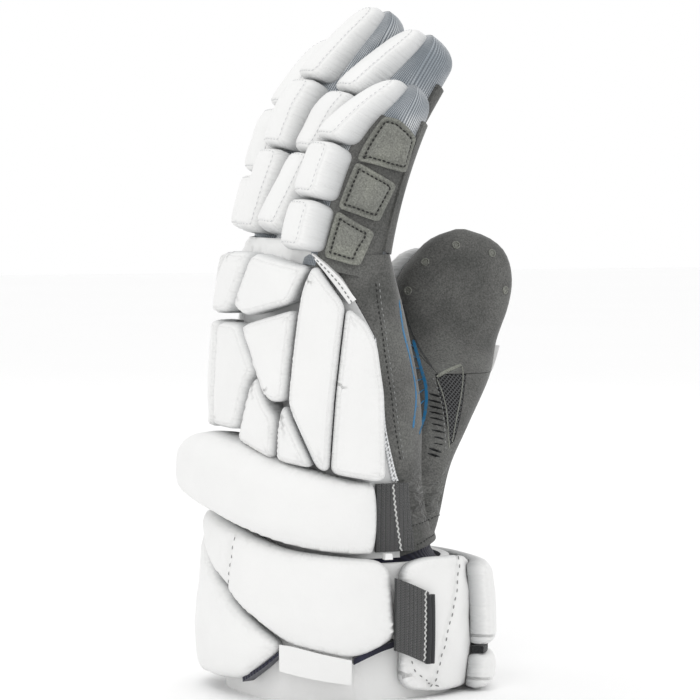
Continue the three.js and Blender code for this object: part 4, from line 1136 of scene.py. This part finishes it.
def build_rolls():
    """Three foam rolls of white leather on the back of each finger."""
    loops = []
    for number, f in enumerate(FINGERS):
        for k, label in enumerate(("root", "middle", "tip")):
            low = f["rolls"][k] * f["length"] + (SEAM if k else 0)
            high = f["rolls"][k + 1] * f["length"] - (SEAM if k < 2 else 0)
            square = [(-FINGER_HALF, low), (FINGER_HALF, low), (FINGER_HALF, high), (-FINGER_HALF, high)]
            rounds = (5, 5, 13, 13) if k == 2 else (4, 4, 4, 4)
            edge = outline(square, 1, 1, rounds, 1.1)

            def place(points, share, lift, f=f):
                return roll_point(f, points[:, 0], points[:, 1], size("finger_roll") * share + lift)

            made = pad(f"{f['name']}_{label}_foam", f"{f['name']}_{label}_roll", edge, place, 1.1, 4.2,
                       wrinkles(number * 3 + k, fine=0.16, broad=0.4, edge=0.3), filling=0.8, wall=0.66, brow=0.93)
            loops.append(sewn(made, place, resample(inset(edge, 1.9), 1.0)))
    sew("roll_stitches", loops, closed=True)


def build_hand_pads():
    """Foam pads on the back, the side and the thumb side of the hand."""
    for number, (name, corners) in enumerate(BACK_PADS.items()):
        thin = 0.7 if name.startswith("thumb_side") else 1.0
        place = hand_place(SEAT, SEAT + size("hand_pad") * thin)
        edge = outline(corners, FLAT_PER_TURN, HAND_LENGTH, 4.0, 1.3)
        pad(name + "_foam", name, edge, place, 1.3, 2.6, wrinkles(40 + number, fine=0.22, broad=0.45, edge=0.5),
            wall=0.78, brow=0.96)


def build_thumb_pads():
    """Two foam pads on the back of the thumb."""
    wide, thick = 0.42, SEAT + size("thumb_pad")

    def place(points, share, lift):
        return thumb_point(points[:, 0] / wide, points[:, 1] / HAND_LENGTH, thick * share + lift)

    for number, (name, corners) in enumerate(THUMB_PADS.items()):
        edge = outline(corners, wide, HAND_LENGTH, 9.0, 1.4)
        pad(name + "_foam", name, edge, place, 1.5, 5.0, wrinkles(60 + number, 0.2, 0.3, 0.5), wall=0.5, brow=0.92)


def build_suede_pads():
    """Three suede pads beside the little finger: a flat flange, a stitched line and a stuffed middle."""
    wide, thick = 0.3, size("suede_pad")
    loops = []

    # the backing runs from below the knuckle up to a slanted edge near the fingertip
    def under(turn, share, out):
        top = np.interp(turn, (36, 56, 100, 128), (0.745, 0.75, 0.7, 0.64)) * LITTLE["length"]
        return finger_point(LITTLE, turn, top * share - 9.0 * (1 - share), out)

    backing = sheet_mesh(under, np.linspace(*BACKING_TURNS, 44), np.linspace(0, 1, 44), 0.06, 0.6)
    made = make_object("little_side_suede", *backing[:2], [MATERIALS["suede"]], sharp=50)
    seat_piece(made, "grey_suede")
    flange = (2.3, 0.42)

    def place(points, share, lift):
        return finger_point(LITTLE, points[:, 0] / wide, points[:, 1], SEAT + thick * share + lift)

    for number, (name, corners) in enumerate(SUEDE_PADS.items()):
        edge = outline(corners, wide, LITTLE["length"], 2.0, 0.9, inset=0.2)
        pad(name + "_leather", name, edge, place, 0.95, 3.4, wrinkles(70 + number, 0.15, 0.3, 0.25),
            "suede_light", "light_suede", 0.6, wall=0.4, brow=0.9, flange=flange)
        loops.append(place(resample(inset(edge, flange[0]), 1.0), flange[1], 0.1))
    sew("side_pad_stitches", loops, closed=True)


def build_wrist():
    """Thick roll round the back of the wrist, with elastic webbing at each end."""
    turns = np.linspace(BAND_ROWS[0][0], BAND_ROWS[-1][0] - 3, 28)
    rows = rows_at(BAND_ROWS, turns)
    lower = np.stack([turns * FLAT_PER_TURN, rows[:, 0] * HAND_LENGTH], -1)
    upper = np.stack([turns * FLAT_PER_TURN, rows[:, 1] * HAND_LENGTH], -1)
    loop = np.vstack([lower, upper[::-1]])
    edge = resample(rounded(loop, 3), 1.6)

    def place(points, share, lift):
        turn = points[:, 0] / FLAT_PER_TURN
        thick = size("wrist_roll") * rows_at(BAND_ROWS, turn)[:, 2]
        return hand_point(turn, points[:, 1] / HAND_LENGTH, SEAT + thick * share + lift)

    pad("wrist_roll_foam", "wrist_roll", edge, place, 1.6, 12.0, wrinkles(80, 0.25, 0.8, 0.5), "leather_plain",
        filling=0.8, wall=0.42, brow=0.96)
    for node, turns, ups in (("wrist_elastic", (87.9, 108), (0.35, 0.5)),
                             ("wrist_elastic_thumb_side", (266.5, 274.5), (0.4, 0.52))):
        strap(node + "_web", node, hand_point, turns, ups, SEAT, size("webbing"), "webbing", "webbing")


def rounded(loop, times):
    """Closed line with its corners cut back a few times."""
    for _ in range(times):
        ahead = np.roll(loop, -1, axis=0)
        loop = np.stack([loop * 0.75 + ahead * 0.25, loop * 0.25 + ahead * 0.75], 1).reshape(-1, 2)
    return loop


def strap(name, node, place, turns, ups, out, thick, look, slot):
    """Flat strap laid over the hand form."""
    us = np.linspace(*turns, max(int(abs(turns[1] - turns[0]) / 1.2), 8))
    made, flat = plate(name, place, us, np.linspace(*ups, 24), out, out + thick, look)
    cut = ((flat[0] * MM, flat[1] * MM), "laid", ()) if min(flat) > 10 else None
    return seat_piece(made, slot, node, sheet=cut)


def build_cuff():
    """Navy lining, white inner wrap with the flat foot, and the padded panels outside it."""
    turns = np.linspace(0, 360, 120, endpoint=False)
    foot = CUFF_FOOT / HAND_LENGTH
    lining_rows = np.array([(foot + 0.005, -FIT), (0.31, -FIT), (HAND_FOOT, -PALM_WALL - FIT * 2),
                            (LINING_TOP, -PALM_WALL - FIT * 2)])
    ups = np.linspace(lining_rows[0][0], LINING_TOP, 30)
    outs = np.interp(ups, lining_rows[:, 0], lining_rows[:, 1])
    made = wall("cuff_lining_cloth", turns, ups, outs, LINING_WALL, "lining")
    seat_piece(made, "navy_lining", "cuff_lining")
    ups = np.linspace(foot, WRAP_TOP, 26)
    made = wall("cuff_wrap_leather", turns, ups, np.full(len(ups), WRAP_THICK), WRAP_THICK - FIT, "leather_plain")
    seat_piece(made, "white_leather", "cuff_wrap")
    for number, (name, (thick, corners)) in enumerate(CUFF_PADS.items()):
        place = hand_place(CUFF_SEAT, CUFF_SEAT + CUFF_PAD * thick)
        edge = outline(corners, FLAT_PER_TURN, HAND_LENGTH, 6.0, 1.7)
        lines = [resample(np.array(line) * (FLAT_PER_TURN, HAND_LENGTH), 1.0, closed=False)
                 for line in CUFF_CHANNELS.get(name, [])]
        shoulder, side = (3.5, 0.78) if name == "wrist_panel" else (7.0, 0.5)
        pad(name + "_foam", name, edge, place, 1.75, shoulder, seamed(90 + number, lines), "leather_plain",
            wall=side, brow=0.93)


def seamed(seed, lines):
    """Relief of a cuff panel: wrinkles, and a sewn channel with puckers along each line."""
    base = wrinkles(seed, fine=0.25, broad=0.7, edge=0.6)

    def relief(points, away, run):
        lift = base(points, away, run)
        for line in lines:
            beside, along = edge_distance(line, points, closed=False)
            folds = rough(np.stack([along / 2.4, beside / 9.0, np.zeros_like(along)], -1), 1.0, seed + 5)
            lift -= 1.9 * np.exp(-((beside / 1.9) ** 2)) - 0.9 * folds * np.exp(-((beside / 4.5) ** 2))
        return lift

    return relief


def wall(name, turns, ups, outs, thick, look):
    """Closed ring of cloth or leather round the hand form."""
    outer = np.array([hand_point(turns, up, out) for up, out in zip(ups, outs)])
    inner = np.array([hand_point(turns, up, out - thick) for up, out in zip(ups, outs)])
    count, n = outer.shape[:2]
    points, faces = two_walls(outer, inner)
    a, b = (count - 1) * n, (2 * count - 1) * n
    faces += [[a + k, a + (k + 1) % n, b + (k + 1) % n, b + k] for k in range(n)]
    rim = np.full(len(points), NO_SEAM)
    return make_object(name, points, outward(points, faces), [MATERIALS[look]], rim=rim, sharp=50)


def build_straps():
    """Elastic tab, wrist strap with its tab, and the bare label on the cuff."""

    def tab_place(turn, up, out):
        return hand_point(turn, up - 0.0026 * (turn - 96), out)

    strap("cuff_elastic_tab_web", "cuff_elastic_tab", tab_place, (91.0, 104.2), (0.126, 0.285), CUFF_SKIN,
          size("webbing"), "webbing", "webbing")
    place = hand_place(CUFF_SKIN, CUFF_SKIN + size("strap"))
    for node, corners in (("wrist_strap", [(138, 0.125), (206, 0.125), (206, 0.315), (138, 0.315)]),
                          ("wrist_strap_tab", [(136, 0.03), (180, 0.03), (180, 0.112), (136, 0.112)])):
        edge = outline(corners, FLAT_PER_TURN, HAND_LENGTH, 4.0, 1.5)
        pad(node + "_leather", node, edge, place, 1.5, 6.0, wrinkles(110, 0.25, 0.5, 0.5), "leather_plain",
            wall=0.45, brow=0.93)

    def label_place(turn, share, out):
        row = rows_at(LABEL_ROWS, turn)
        return hand_point(turn, row[..., 0] + (row[..., 1] - row[..., 0]) * share, out)

    strap("cuff_label_tape", "cuff_label", label_place, (43.7, 77), (0, 1), CUFF_SEAT + 6, 1.2, "leather_plain",
          "white_leather")


# ---- trims, seams and prints -------------------------------------------------------------------------
# Lines on the little finger side, as (right, up) millimetres in the camera's view.
PALM_SEAM = [(11.7, 29.2), (12.6, 20.2), (14.4, 9), (15.8, -2.2), (17.6, -13.5), (18.9, -22.5), (19.8, -31.5),
             (21.2, -40.5), (22.5, -48.6)]
PRINT_LINES = [
    [(22.1, 22.5), (23.9, 9), (27.4, -5.4), (29.7, -20.2), (28.4, -35.1)],
    [(28.4, 4.5), (31.5, -6.8), (34.2, -17.1), (33.8, -27.9), (31.1, -37.8)],
]
GRIP_BARS = [
    ((36, -19.8), (41, -21.2)), ((35.6, -22.5), (41, -23.9)), ((35.6, -25.2), (41.4, -26.6)),
    ((35.1, -27.7), (41.9, -29.2)), ((35.1, -30.2), (42.3, -31.9)), ((35.1, -32.9), (42.8, -34.6)),
    ((35.6, -35.8), (43.2, -37.4)), ((35.6, -38.7), (43.6, -40.5)), ((35.6, -41.6), (43.6, -43.2)),
    ((36, -44.3), (40.5, -45.9)), ((36, -46.8), (39.1, -47.7)),
]
THUMB_EYELETS = [(47.7, 47.2), (63.9, 43.6), (33.8, 39.6), (26.1, 26.6), (69.8, 27)]
WINDOW_TOP = [(39.1, -12.2), (43.6, -9.5), (50, -6.8)]
WINDOW_LEFT = [(39.1, -13.1), (41.4, -18.9), (43.2, -26.1), (44.1, -35.1), (44.6, -44.1)]
WINDOW_RIGHT = [(50.4, -7.2), (50.9, -11.7), (50, -20.2), (48.1, -29.7), (45.9, -41.4)]
THUMB_CREASE = [(22.5, 24.3), (24.8, 17.1), (27.4, 9), (31.5, 0.5), (36, -6.3), (39.1, -11.7)]
HEM_LINES = [
    [(22.9, -78.3), (29.2, -78.8), (35.1, -76.5), (41, -73.8)],
    [(22.9, -89.1), (29.7, -87.8), (36, -84.2), (41, -81)],
]
SIDE_SKINS = ("palm_suede_skin", "thumb_sleeve_skin", "palm_mesh_window_skin", "hand_back_base_skin")

# Thin plates between two lines of (turn, up): the lines, height over the form, thickness, finish and slot.
HAND_TRIMS = {
    "woven_edge_strip": ([(85.6, 0.822), (88.2, 0.708), (89.8, 0.616), (94.5, 0.532), (96.5, 0.504)],
                         [(87, 0.82), (90, 0.708), (92, 0.616), (98, 0.532), (101, 0.504)],
                         0.15, 0.9, "tape", "white_leather"),
    "knuckle_flap": ([(50.5, 0.99), (57.5, 0.962), (64.5, 0.93), (71.5, 0.895)],
                     [(48.5, 1.003), (57.8, 0.978), (66.8, 0.946), (75, 0.905)],
                     0.5, 9.0, "leather_plain", "white_leather"),
}
CUFF_TRIMS = {
    "cuff_side_edge": ([(78, 0.11), (85, 0.128), (92.6, 0.148)], [(78, 0.124), (85, 0.142), (92.6, 0.16)],
                       CUFF_SEAT, 5.5, "lining", "navy_lining"),
    "cuff_back_edge": ([(20, 0.062), (33, 0.096), (43, 0.13)], [(20, 0.072), (33, 0.105), (43, 0.137)],
                       CUFF_SEAT, 6.5, "lining", "navy_lining"),
    "strap_hook_plate": ([(139, 0.111), (160, 0.111), (179, 0.111)], [(139, 0.127), (160, 0.127), (179, 0.127)],
                         CUFF_SKIN + 0.6, 5.5, "hook", "webbing"),
    "cuff_seam_tab": ([(88.8, 0.338), (89.0, 0.351)], [(90.8, 0.338), (90.6, 0.351)],
                      CUFF_SEAT + 2.5, 3.4, "leather_plain", "white_leather"),
}
THUMB_TRIMS = {
    "thumb_edge_tab": ([(76, 0.72), (76, 0.778)], [(92, 0.72), (92, 0.778)], 0.3, 2.4, "leather_plain",
                       "white_leather"),
}
# Bands of the side, from lines of the camera's view: lines, width, thickness, finish and how low their foot is.
# The dashes run between the two lines of the print and have no lines of their own.
BANDS = {
    "palm_print": (PRINT_LINES, 1.5, 0.25, "print", -0.05),
    "palm_print_dashes": ([], 1.0, 0.25, "print", -0.05),
    "window_binding": ([WINDOW_TOP], 1.7, 0.6, "suede_light", -0.25),
    "window_edges": ([WINDOW_LEFT, WINDOW_RIGHT], 0.6, 0.5, "suede_light", -0.25),
    # the thumb's crease is painted shade: a band of darker suede along the fold
    "thumb_crease_shade": ([THUMB_CREASE], 1.0, 0.4, "suede_dark", -0.25),
}
# Sewn lines of (turn, up) and the piece that each is sewn through.
FLAP_SEAM = [(50, 0.993), (57.8, 0.968), (65.8, 0.936), (72.5, 0.899)]
STRIP_SEAM = [(86.4, 0.82), (89.2, 0.708), (91.0, 0.616), (96.2, 0.532), (98.5, 0.505)]
WEB_SEAMS = [("wrist_elastic_web", (89.2, 90.6, 102.5, 104, 105.5, 107), (0.352, 0.498)),
             ("cuff_elastic_tab_web", (95, 96.5, 98), (0.12, 0.282))]
WEB_ZIGZAGS = [("wrist_elastic_web", [(95.5, 0.497), (96.4, 0.45), (97.6, 0.4), (98.8, 0.352)]),
               ("cuff_elastic_tab_web", [(102.6, 0.266), (102.4, 0.19), (102.2, 0.114)])]
CUFF_SEAMS = [("wrist_panel_foam", [(134, 0.325), (126, 0.25), (116, 0.15), (110, 0.05)]),
              ("wrist_panel_foam", [(96, 0.128), (99, 0.088), (107, 0.061), (112, 0.05)]),
              ("cuff_side_panel_foam", [(12.2, 0.375), (11.2, 0.3), (8.2, 0.245)])]
# Ways that drop a line of (turn, up) on the pieces start this far outside the hand form, in millimetres.
RAY_START = 60.0
# Gusset over the knuckles: its lowest height and how far it rises.
GUSSET_LOW, GUSSET_RISE = 0.965, 0.069


def through(keys):
    """Smooth line through key points of any dimension."""
    keys = np.asarray(keys, float)
    rows = np.column_stack([np.arange(len(keys)), keys])
    return rows_at(rows, np.linspace(0, len(keys) - 1, 12 * (len(keys) - 1) + 1))


def cast(starts, ends, names, lift):
    """Places where straight ways first meet the named pieces, lifted off them, and the directions there."""
    pieces = [bpy.data.objects[name] for name in names]
    places, facing = [], []
    for start, end in zip(np.asarray(starts) * MM, np.asarray(ends) * MM):
        best = None
        for piece in pieces:
            hit, place, normal, _ = piece.ray_cast(Vector(start), Vector(end - start).normalized())
            if hit and (best is None or (place - Vector(start)).length < best[0]):
                best = ((place - Vector(start)).length, place, normal)
        if best:
            places.append(np.array(best[1]) / MM + lift * np.array(best[2]))
            facing.append(np.array(best[2]))
    return np.array(places), np.array(facing)


def in_view(line, lift=0.1):
    """Drops a line of the camera's view on the skins that the camera sees: places and facing."""
    view = bpy.context.scene.glove_view
    right = np.array([math.cos(view.azimuth), math.sin(view.azimuth), 0.0])
    back = np.array([math.sin(view.azimuth) * math.cos(view.elevation),
                     -math.cos(view.azimuth) * math.cos(view.elevation), math.sin(view.elevation)])
    up = np.cross(back, right)
    target = np.array(VIEW_DATUM) + SHIFT
    eye = target + back * view.distance / MM
    line = np.asarray(line, float)
    ends = target + line[:, :1] * right + line[:, 1:] * up
    return cast(np.tile(eye, (len(line), 1)), ends, SIDE_SKINS, lift)


def seen(line, shift=(0, 0)):
    """Places of a seam on the side of the glove, from a line of the camera's view."""
    return in_view(resample(through(np.array(line) + shift), 1.0, closed=False))[0]


def evened(line, wide, step=1.0):
    """Line of (turn, up) with points at an even distance; wide is its millimetres a degree."""
    return resample(through(line) * (wide, HAND_LENGTH), step, closed=False) / (wide, HAND_LENGTH)


def on_hand(line, names, lift):
    """Drops a line of (turn, up) on the pieces outside the hand form."""
    turn, up = np.asarray(line, float).T
    return cast(hand_point(turn, up, RAY_START), hand_point(turn, up, 0.0), names, lift)[0]


def trim(name, first, second, out, thick, look, slot, place):
    """Thin plate between two lines of (turn, up)."""
    a, b = through(first), through(second)

    def at(u, v, height):
        k = v.astype(int)
        p = a[k] * (1 - u[..., None]) + b[k] * u[..., None]
        return place(p[..., 0], p[..., 1], height)

    made, _ = plate(name, at, np.linspace(0, 1, 5), np.arange(len(a)), out, out + thick, look)
    return seat_piece(made, slot)


def ribbon(line, facing, width, thick, low):
    """Flat band along a line that lies on a surface; ends taper a little."""
    along = np.gradient(line, axis=0)
    along /= np.maximum(np.linalg.norm(along, axis=1), 1e-9)[:, None]
    facing = facing / np.linalg.norm(facing, axis=1)[:, None]
    side = np.cross(along, facing)
    wide = np.full(len(line), width / 2)
    wide[[0, -1]] *= 0.5
    wide = wide[:, None]
    rings = np.stack([line + side * wide + facing * low, line + side * wide * 0.85 + facing * (low + thick),
                      line - side * wide * 0.85 + facing * (low + thick), line - side * wide + facing * low], 1)
    return tube_mesh(rings)


def bands(name, lines, width, thick, look, low):
    """Flat bands on the side of the glove as one piece."""
    parts = []
    for line in lines:
        places, facing = in_view(resample(through(line), 1.0, closed=False), 0.0)
        if len(places) > 2:
            parts.append(ribbon(smoothed(places), smoothed(facing), width, thick, low))
    return seat_piece(make_object(name, *join(parts), [MATERIALS[look]], sharp=40), "grey_suede")


def print_dashes():
    """Short lines that join the two lines of the palm's print."""
    first, second = (through(line) for line in PRINT_LINES)
    dashes = []
    for k in range(16, len(first) - 4, 5):
        a, b = first[k] * 0.8 + second[k - 12] * 0.2, first[k] * 0.2 + second[k - 12] * 0.8
        dashes.append(np.array([a, (a + b) / 2, b]))
    return dashes


def smoothed(values, times=2):
    """Rows averaged with their neighbours; the ends stay."""
    for _ in range(times):
        middle = values.copy()
        middle[1:-1] = (values[:-2] + 2 * values[1:-1] + values[2:]) / 4
        values = middle
    return values


def sewn(made, place, line):
    """Places of a seam line on a finished pad, found from above its crown."""
    high, low = place(line, np.full(len(line), 1.0), 9.0), place(line, np.full(len(line), 0.1), 0.0)
    return cast(high, low, [made.name], 0.05)[0]


def build_trims():
    """Strips, flap, gusset, bindings, prints, bars and eyelets at the borders of the leather and the suede."""

    def lay(table, place):
        for name, values in table.items():
            trim(name, *values, place)

    def crumpled(turn, up, out):
        fold = rough(np.stack([turn.ravel() / 2.6, up.ravel() * 70, np.zeros(turn.size)], -1), 1.5, 5)
        swell = np.sin(np.clip((up - GUSSET_LOW) / GUSSET_RISE, 0, 1) * math.pi)
        return hand_point(turn, up, out + 0.6 + 2.8 * swell + 1.7 * fold.reshape(turn.shape) * swell)

    lay(HAND_TRIMS, hand_point)
    turns, ups = np.linspace(-62, 60, 90), np.linspace(GUSSET_LOW, GUSSET_LOW + GUSSET_RISE, 16)
    seat_piece(plate("knuckle_gusset", crumpled, turns, ups, 0.1, 0.9, "leather_plain", 60)[0], "white_leather")
    lay(CUFF_TRIMS, hand_point)
    lay(THUMB_TRIMS, thumb_point)
    for name, (lines, *values) in BANDS.items():
        bands(name, lines or print_dashes(), *values)
    bars = []
    for bar in GRIP_BARS:
        places, _ = in_view(bar)
        if len(places) == 2:
            middle = places.mean(0)
            bars.append(np.array([middle, middle + (places[1] - places[0]) * 0.05]))
    sew("grip_bars", bars)
    places, facing = in_view(THUMB_EYELETS)
    # the eyelets' holes are painted shade: black discs of hook pile
    rings, hole_shade = MATERIALS["suede_light"], MATERIALS["hook"]
    made = run_tree("thumb_eyelets", places, [], ring_tree(),
                    {"Radius": 1.6 * MM, "Wire": 0.4 * MM, "Material": rings, "Hole": hole_shade}, [rings, hole_shade], facing)
    seat_piece(made, "grey_suede")
    # the tab's end is folded under: two rolls of webbing side by side
    ups = np.linspace(0.106, 0.258, 24)
    parts = [sweep(hand_point(np.full(24, turn), ups, CUFF_SKIN + 1.8), 1.3, 8) for turn in (103.9, 105.8)]
    seat_piece(make_object("elastic_tab_fold", *join(parts), [MATERIALS["webbing"]], sharp=60), "webbing")


def build_seams():
    """Running stitches of the palm, the flap, the cuff and the webbing."""
    sew("white_seams", [on_hand(through(FLAP_SEAM) + (0, 0.002), ["knuckle_flap", "palm_suede_skin"], 0.1),
                        on_hand(through(STRIP_SEAM), ["woven_edge_strip"], 0.1)])
    sew("palm_seams_dark", [seen(line) for line in (PALM_SEAM, *HEM_LINES)])
    sew("palm_seams_light", [seen(PALM_SEAM, (1.5, 0.2)), seen(WINDOW_LEFT, (-1.6, 0))])
    sew("webbing_seams", [on_hand([(turn, up) for up in np.linspace(*ups, 40)], [name], 0.02)
                          for name, turns, ups in WEB_SEAMS for turn in turns])
    slanted = []
    for name, line in WEB_ZIGZAGS:
        slanted += zigzag(on_hand(evened(line, 1.0), [name], 0.15), 0.7, 1.2, (1, 0, 0))
    sew("webbing_zigzags", slanted)
    sew("cuff_seams", [on_hand(evened(line, FLAT_PER_TURN) + (1.6, 0), [name], 0.05) for name, line in CUFF_SEAMS])


# ---- stage -------------------------------------------------------------------------------------------
def aim(made, target):
    """Turns a camera or a light to a point."""
    made.rotation_euler = (Vector(target) - made.location).to_track_quat("-Z", "Y").to_euler()


def soft_box(name, place, side, power):
    """Square soft light that faces the middle of the glove; the side is in metres."""
    data = bpy.data.lights.new(name, "AREA")
    data.shape = "RECTANGLE"
    data.size = data.size_y = side
    data.energy = power
    made = bpy.data.objects.new(name, data)
    made.location = place
    bpy.context.scene.collection.objects.link(made)
    aim(made, (0, 0, 0.15))


def build_stage(sizes):
    """Pale floor, white surroundings, soft boxes and the camera at the photograph's angle."""
    scene = bpy.context.scene
    azimuth, elevation = sizes.azimuth, sizes.elevation
    back = Vector((math.sin(azimuth) * math.cos(elevation), -math.cos(azimuth) * math.cos(elevation),
                   math.sin(elevation)))
    target = Vector(np.array(VIEW_DATUM) + SHIFT) * MM
    data = bpy.data.cameras.new("camera")
    data.sensor_width = 36.0
    data.lens = 36.0 * sizes.distance / sizes.field
    data.clip_end = 100.0
    camera = bpy.data.objects.new("camera", data)
    camera.location = target + back * sizes.distance
    scene.collection.objects.link(camera)
    aim(camera, target)
    scene.camera = camera
    size = 6.0
    mesh = bpy.data.meshes.new("floor")
    mesh.from_pydata([(-size, -size, 0), (size, -size, 0), (size, size, 0), (-size, size, 0)], [], [(0, 1, 2, 3)])
    floor = finish_mesh("floor", mesh, plain_floor("matt_painted_floor", "#fbfbfb", "#fdfdfd"))
    world = bpy.data.worlds.new("surroundings")
    world.use_nodes = True
    shade = world.node_tree.nodes["Background"]
    shade.inputs["Color"].default_value = (1.0, 1.0, 1.0, 1.0)
    shade.inputs["Strength"].default_value = 1.0
    scene.world = world
    for name, place, side, power in (("key_light", (-1.0, -1.2, 1.7), 0.7, 4.4),
                                     ("top_light", (0.1, 0.5, 1.7), 0.8, 1.6),
                                     ("back_light", (1.2, 1.3, 0.9), 0.9, 1.2)):
        soft_box(name, place, side, power)
    scene.view_settings.view_transform = "Standard"


# ---- properties, operators and the panel -------------------------------------------------------------
class GloveLooks(bpy.types.PropertyGroup):
    """Colours of the glove's finishes."""

    __annotations__ = {
        key: bpy.props.FloatVectorProperty(
            name=label, description=text, subtype="COLOR_GAMMA", size=3, min=0, max=1, default=default)
        for key, (label, text, default) in COLOURS.items()
    }


class GloveSizes(bpy.types.PropertyGroup):
    """Thicknesses of the padding, the straps and the thread."""

    __annotations__ = {
        key: bpy.props.FloatProperty(
            name=label, description=text, unit="LENGTH", precision=4, min=0.0005, max=0.04, default=thick * MM)
        for key, (label, text, thick) in SIZES.items()
    } | {
        "thread": bpy.props.FloatProperty(
            name="Thread", description="Thickness of all sewing thread against the usual", min=0.2, max=3,
            default=1.0),
    }


class GloveView(bpy.types.PropertyGroup):
    """Sizes of the stage."""

    azimuth: bpy.props.FloatProperty(
        name="Azimuth", description="Camera angle round the glove, 0 looks along +Y", subtype="ANGLE",
        default=math.radians(-22))
    elevation: bpy.props.FloatProperty(
        name="Elevation", description="Camera angle above the floor", subtype="ANGLE", default=math.radians(3))
    distance: bpy.props.FloatProperty(
        name="Distance", description="From the camera to the glove", unit="LENGTH", default=1.5)
    field: bpy.props.FloatProperty(
        name="Field", description="Width of the picture at the glove", unit="LENGTH", default=0.315)


class GLOVE_OT_materials(bpy.types.Operator):
    """Make the leather, suede, knit, mesh, webbing, lining and thread materials"""

    bl_idname = "glove.materials"
    bl_label = "Materials"

    def execute(self, context):
        build_materials(context.scene.glove_looks)
        return {"FINISHED"}


class GLOVE_OT_shell(bpy.types.Operator):
    """Make the skin of the hand and the thumb"""

    bl_idname = "glove.shell"
    bl_label = "Hand and thumb skin"

    def execute(self, context):
        build_shell()
        return {"FINISHED"}


class GLOVE_OT_fingers(bpy.types.Operator):
    """Make the knit sleeves and their suede strips"""

    bl_idname = "glove.fingers"
    bl_label = "Finger sleeves"

    def execute(self, context):
        build_fingers()
        return {"FINISHED"}


class GLOVE_OT_rolls(bpy.types.Operator):
    """Make the foam rolls on the backs of the fingers"""

    bl_idname = "glove.rolls"
    bl_label = "Finger rolls"

    def execute(self, context):
        build_rolls()
        return {"FINISHED"}


class GLOVE_OT_pads(bpy.types.Operator):
    """Make the foam pads of the hand and the thumb"""

    bl_idname = "glove.pads"
    bl_label = "Hand pads"

    def execute(self, context):
        build_hand_pads()
        build_thumb_pads()
        return {"FINISHED"}


class GLOVE_OT_suede_pads(bpy.types.Operator):
    """Make the stitched suede pads beside the little finger"""

    bl_idname = "glove.suede_pads"
    bl_label = "Suede side pads"

    def execute(self, context):
        build_suede_pads()
        return {"FINISHED"}


class GLOVE_OT_wrist(bpy.types.Operator):
    """Make the wrist roll and its elastic webbing"""

    bl_idname = "glove.wrist"
    bl_label = "Wrist roll"

    def execute(self, context):
        build_wrist()
        return {"FINISHED"}


class GLOVE_OT_cuff(bpy.types.Operator):
    """Make the lining, the wrap and the panels of the cuff"""

    bl_idname = "glove.cuff"
    bl_label = "Cuff"

    def execute(self, context):
        build_cuff()
        return {"FINISHED"}


class GLOVE_OT_straps(bpy.types.Operator):
    """Make the straps, the tabs and the label of the cuff"""

    bl_idname = "glove.straps"
    bl_label = "Straps"

    def execute(self, context):
        build_straps()
        return {"FINISHED"}


class GLOVE_OT_trims(bpy.types.Operator):
    """Make the strips, bindings, prints, bars and eyelets"""

    bl_idname = "glove.trims"
    bl_label = "Trims"

    def execute(self, context):
        build_trims()
        return {"FINISHED"}


class GLOVE_OT_seams(bpy.types.Operator):
    """Make the running stitches of the palm, the cuff and the webbing"""

    bl_idname = "glove.seams"
    bl_label = "Seams"

    def execute(self, context):
        build_seams()
        return {"FINISHED"}


class GLOVE_OT_stage(bpy.types.Operator):
    """Make the floor, the lights and the camera"""

    bl_idname = "glove.stage"
    bl_label = "Stage"

    def execute(self, context):
        build_stage(context.scene.glove_view)
        return {"FINISHED"}


STEPS = [GLOVE_OT_materials, GLOVE_OT_stage, GLOVE_OT_shell, GLOVE_OT_fingers, GLOVE_OT_rolls, GLOVE_OT_pads,
         GLOVE_OT_suede_pads, GLOVE_OT_wrist, GLOVE_OT_cuff, GLOVE_OT_straps, GLOVE_OT_trims, GLOVE_OT_seams]


class GLOVE_PT_panel(bpy.types.Panel):
    """Colours, sizes and building steps of the glove"""

    bl_label = "Lacrosse glove"
    bl_idname = "GLOVE_PT_panel"
    bl_space_type = "VIEW_3D"
    bl_region_type = "UI"
    bl_category = "Glove"

    def draw(self, context):
        column = self.layout.column()
        for group, keys in ((context.scene.glove_looks, COLOURS), (context.scene.glove_sizes, [*SIZES, "thread"]),
                            (context.scene.glove_view, ("azimuth", "elevation", "distance", "field"))):
            for key in keys:
                column.prop(group, key)
        for step in STEPS:
            column.operator(step.bl_idname)


CLASSES = [GloveLooks, GloveSizes, GloveView, *STEPS, GLOVE_PT_panel]


def register():
    """Registers the classes and hangs the panel's values on the scene."""
    for cls in CLASSES:
        bpy.utils.register_class(cls)
    bpy.types.Scene.glove_looks = bpy.props.PointerProperty(type=GloveLooks)
    bpy.types.Scene.glove_sizes = bpy.props.PointerProperty(type=GloveSizes)
    bpy.types.Scene.glove_view = bpy.props.PointerProperty(type=GloveView)


def unregister():
    """Takes away what register added."""
    del bpy.types.Scene.glove_looks
    del bpy.types.Scene.glove_sizes
    del bpy.types.Scene.glove_view
    for cls in reversed(CLASSES):
        bpy.utils.unregister_class(cls)


def main():
    """Builds the glove step by step."""
    register()
    for step in STEPS:
        group, name = step.bl_idname.split(".")
        getattr(getattr(bpy.ops, group), name)()


if __name__ == "__main__":
    main()
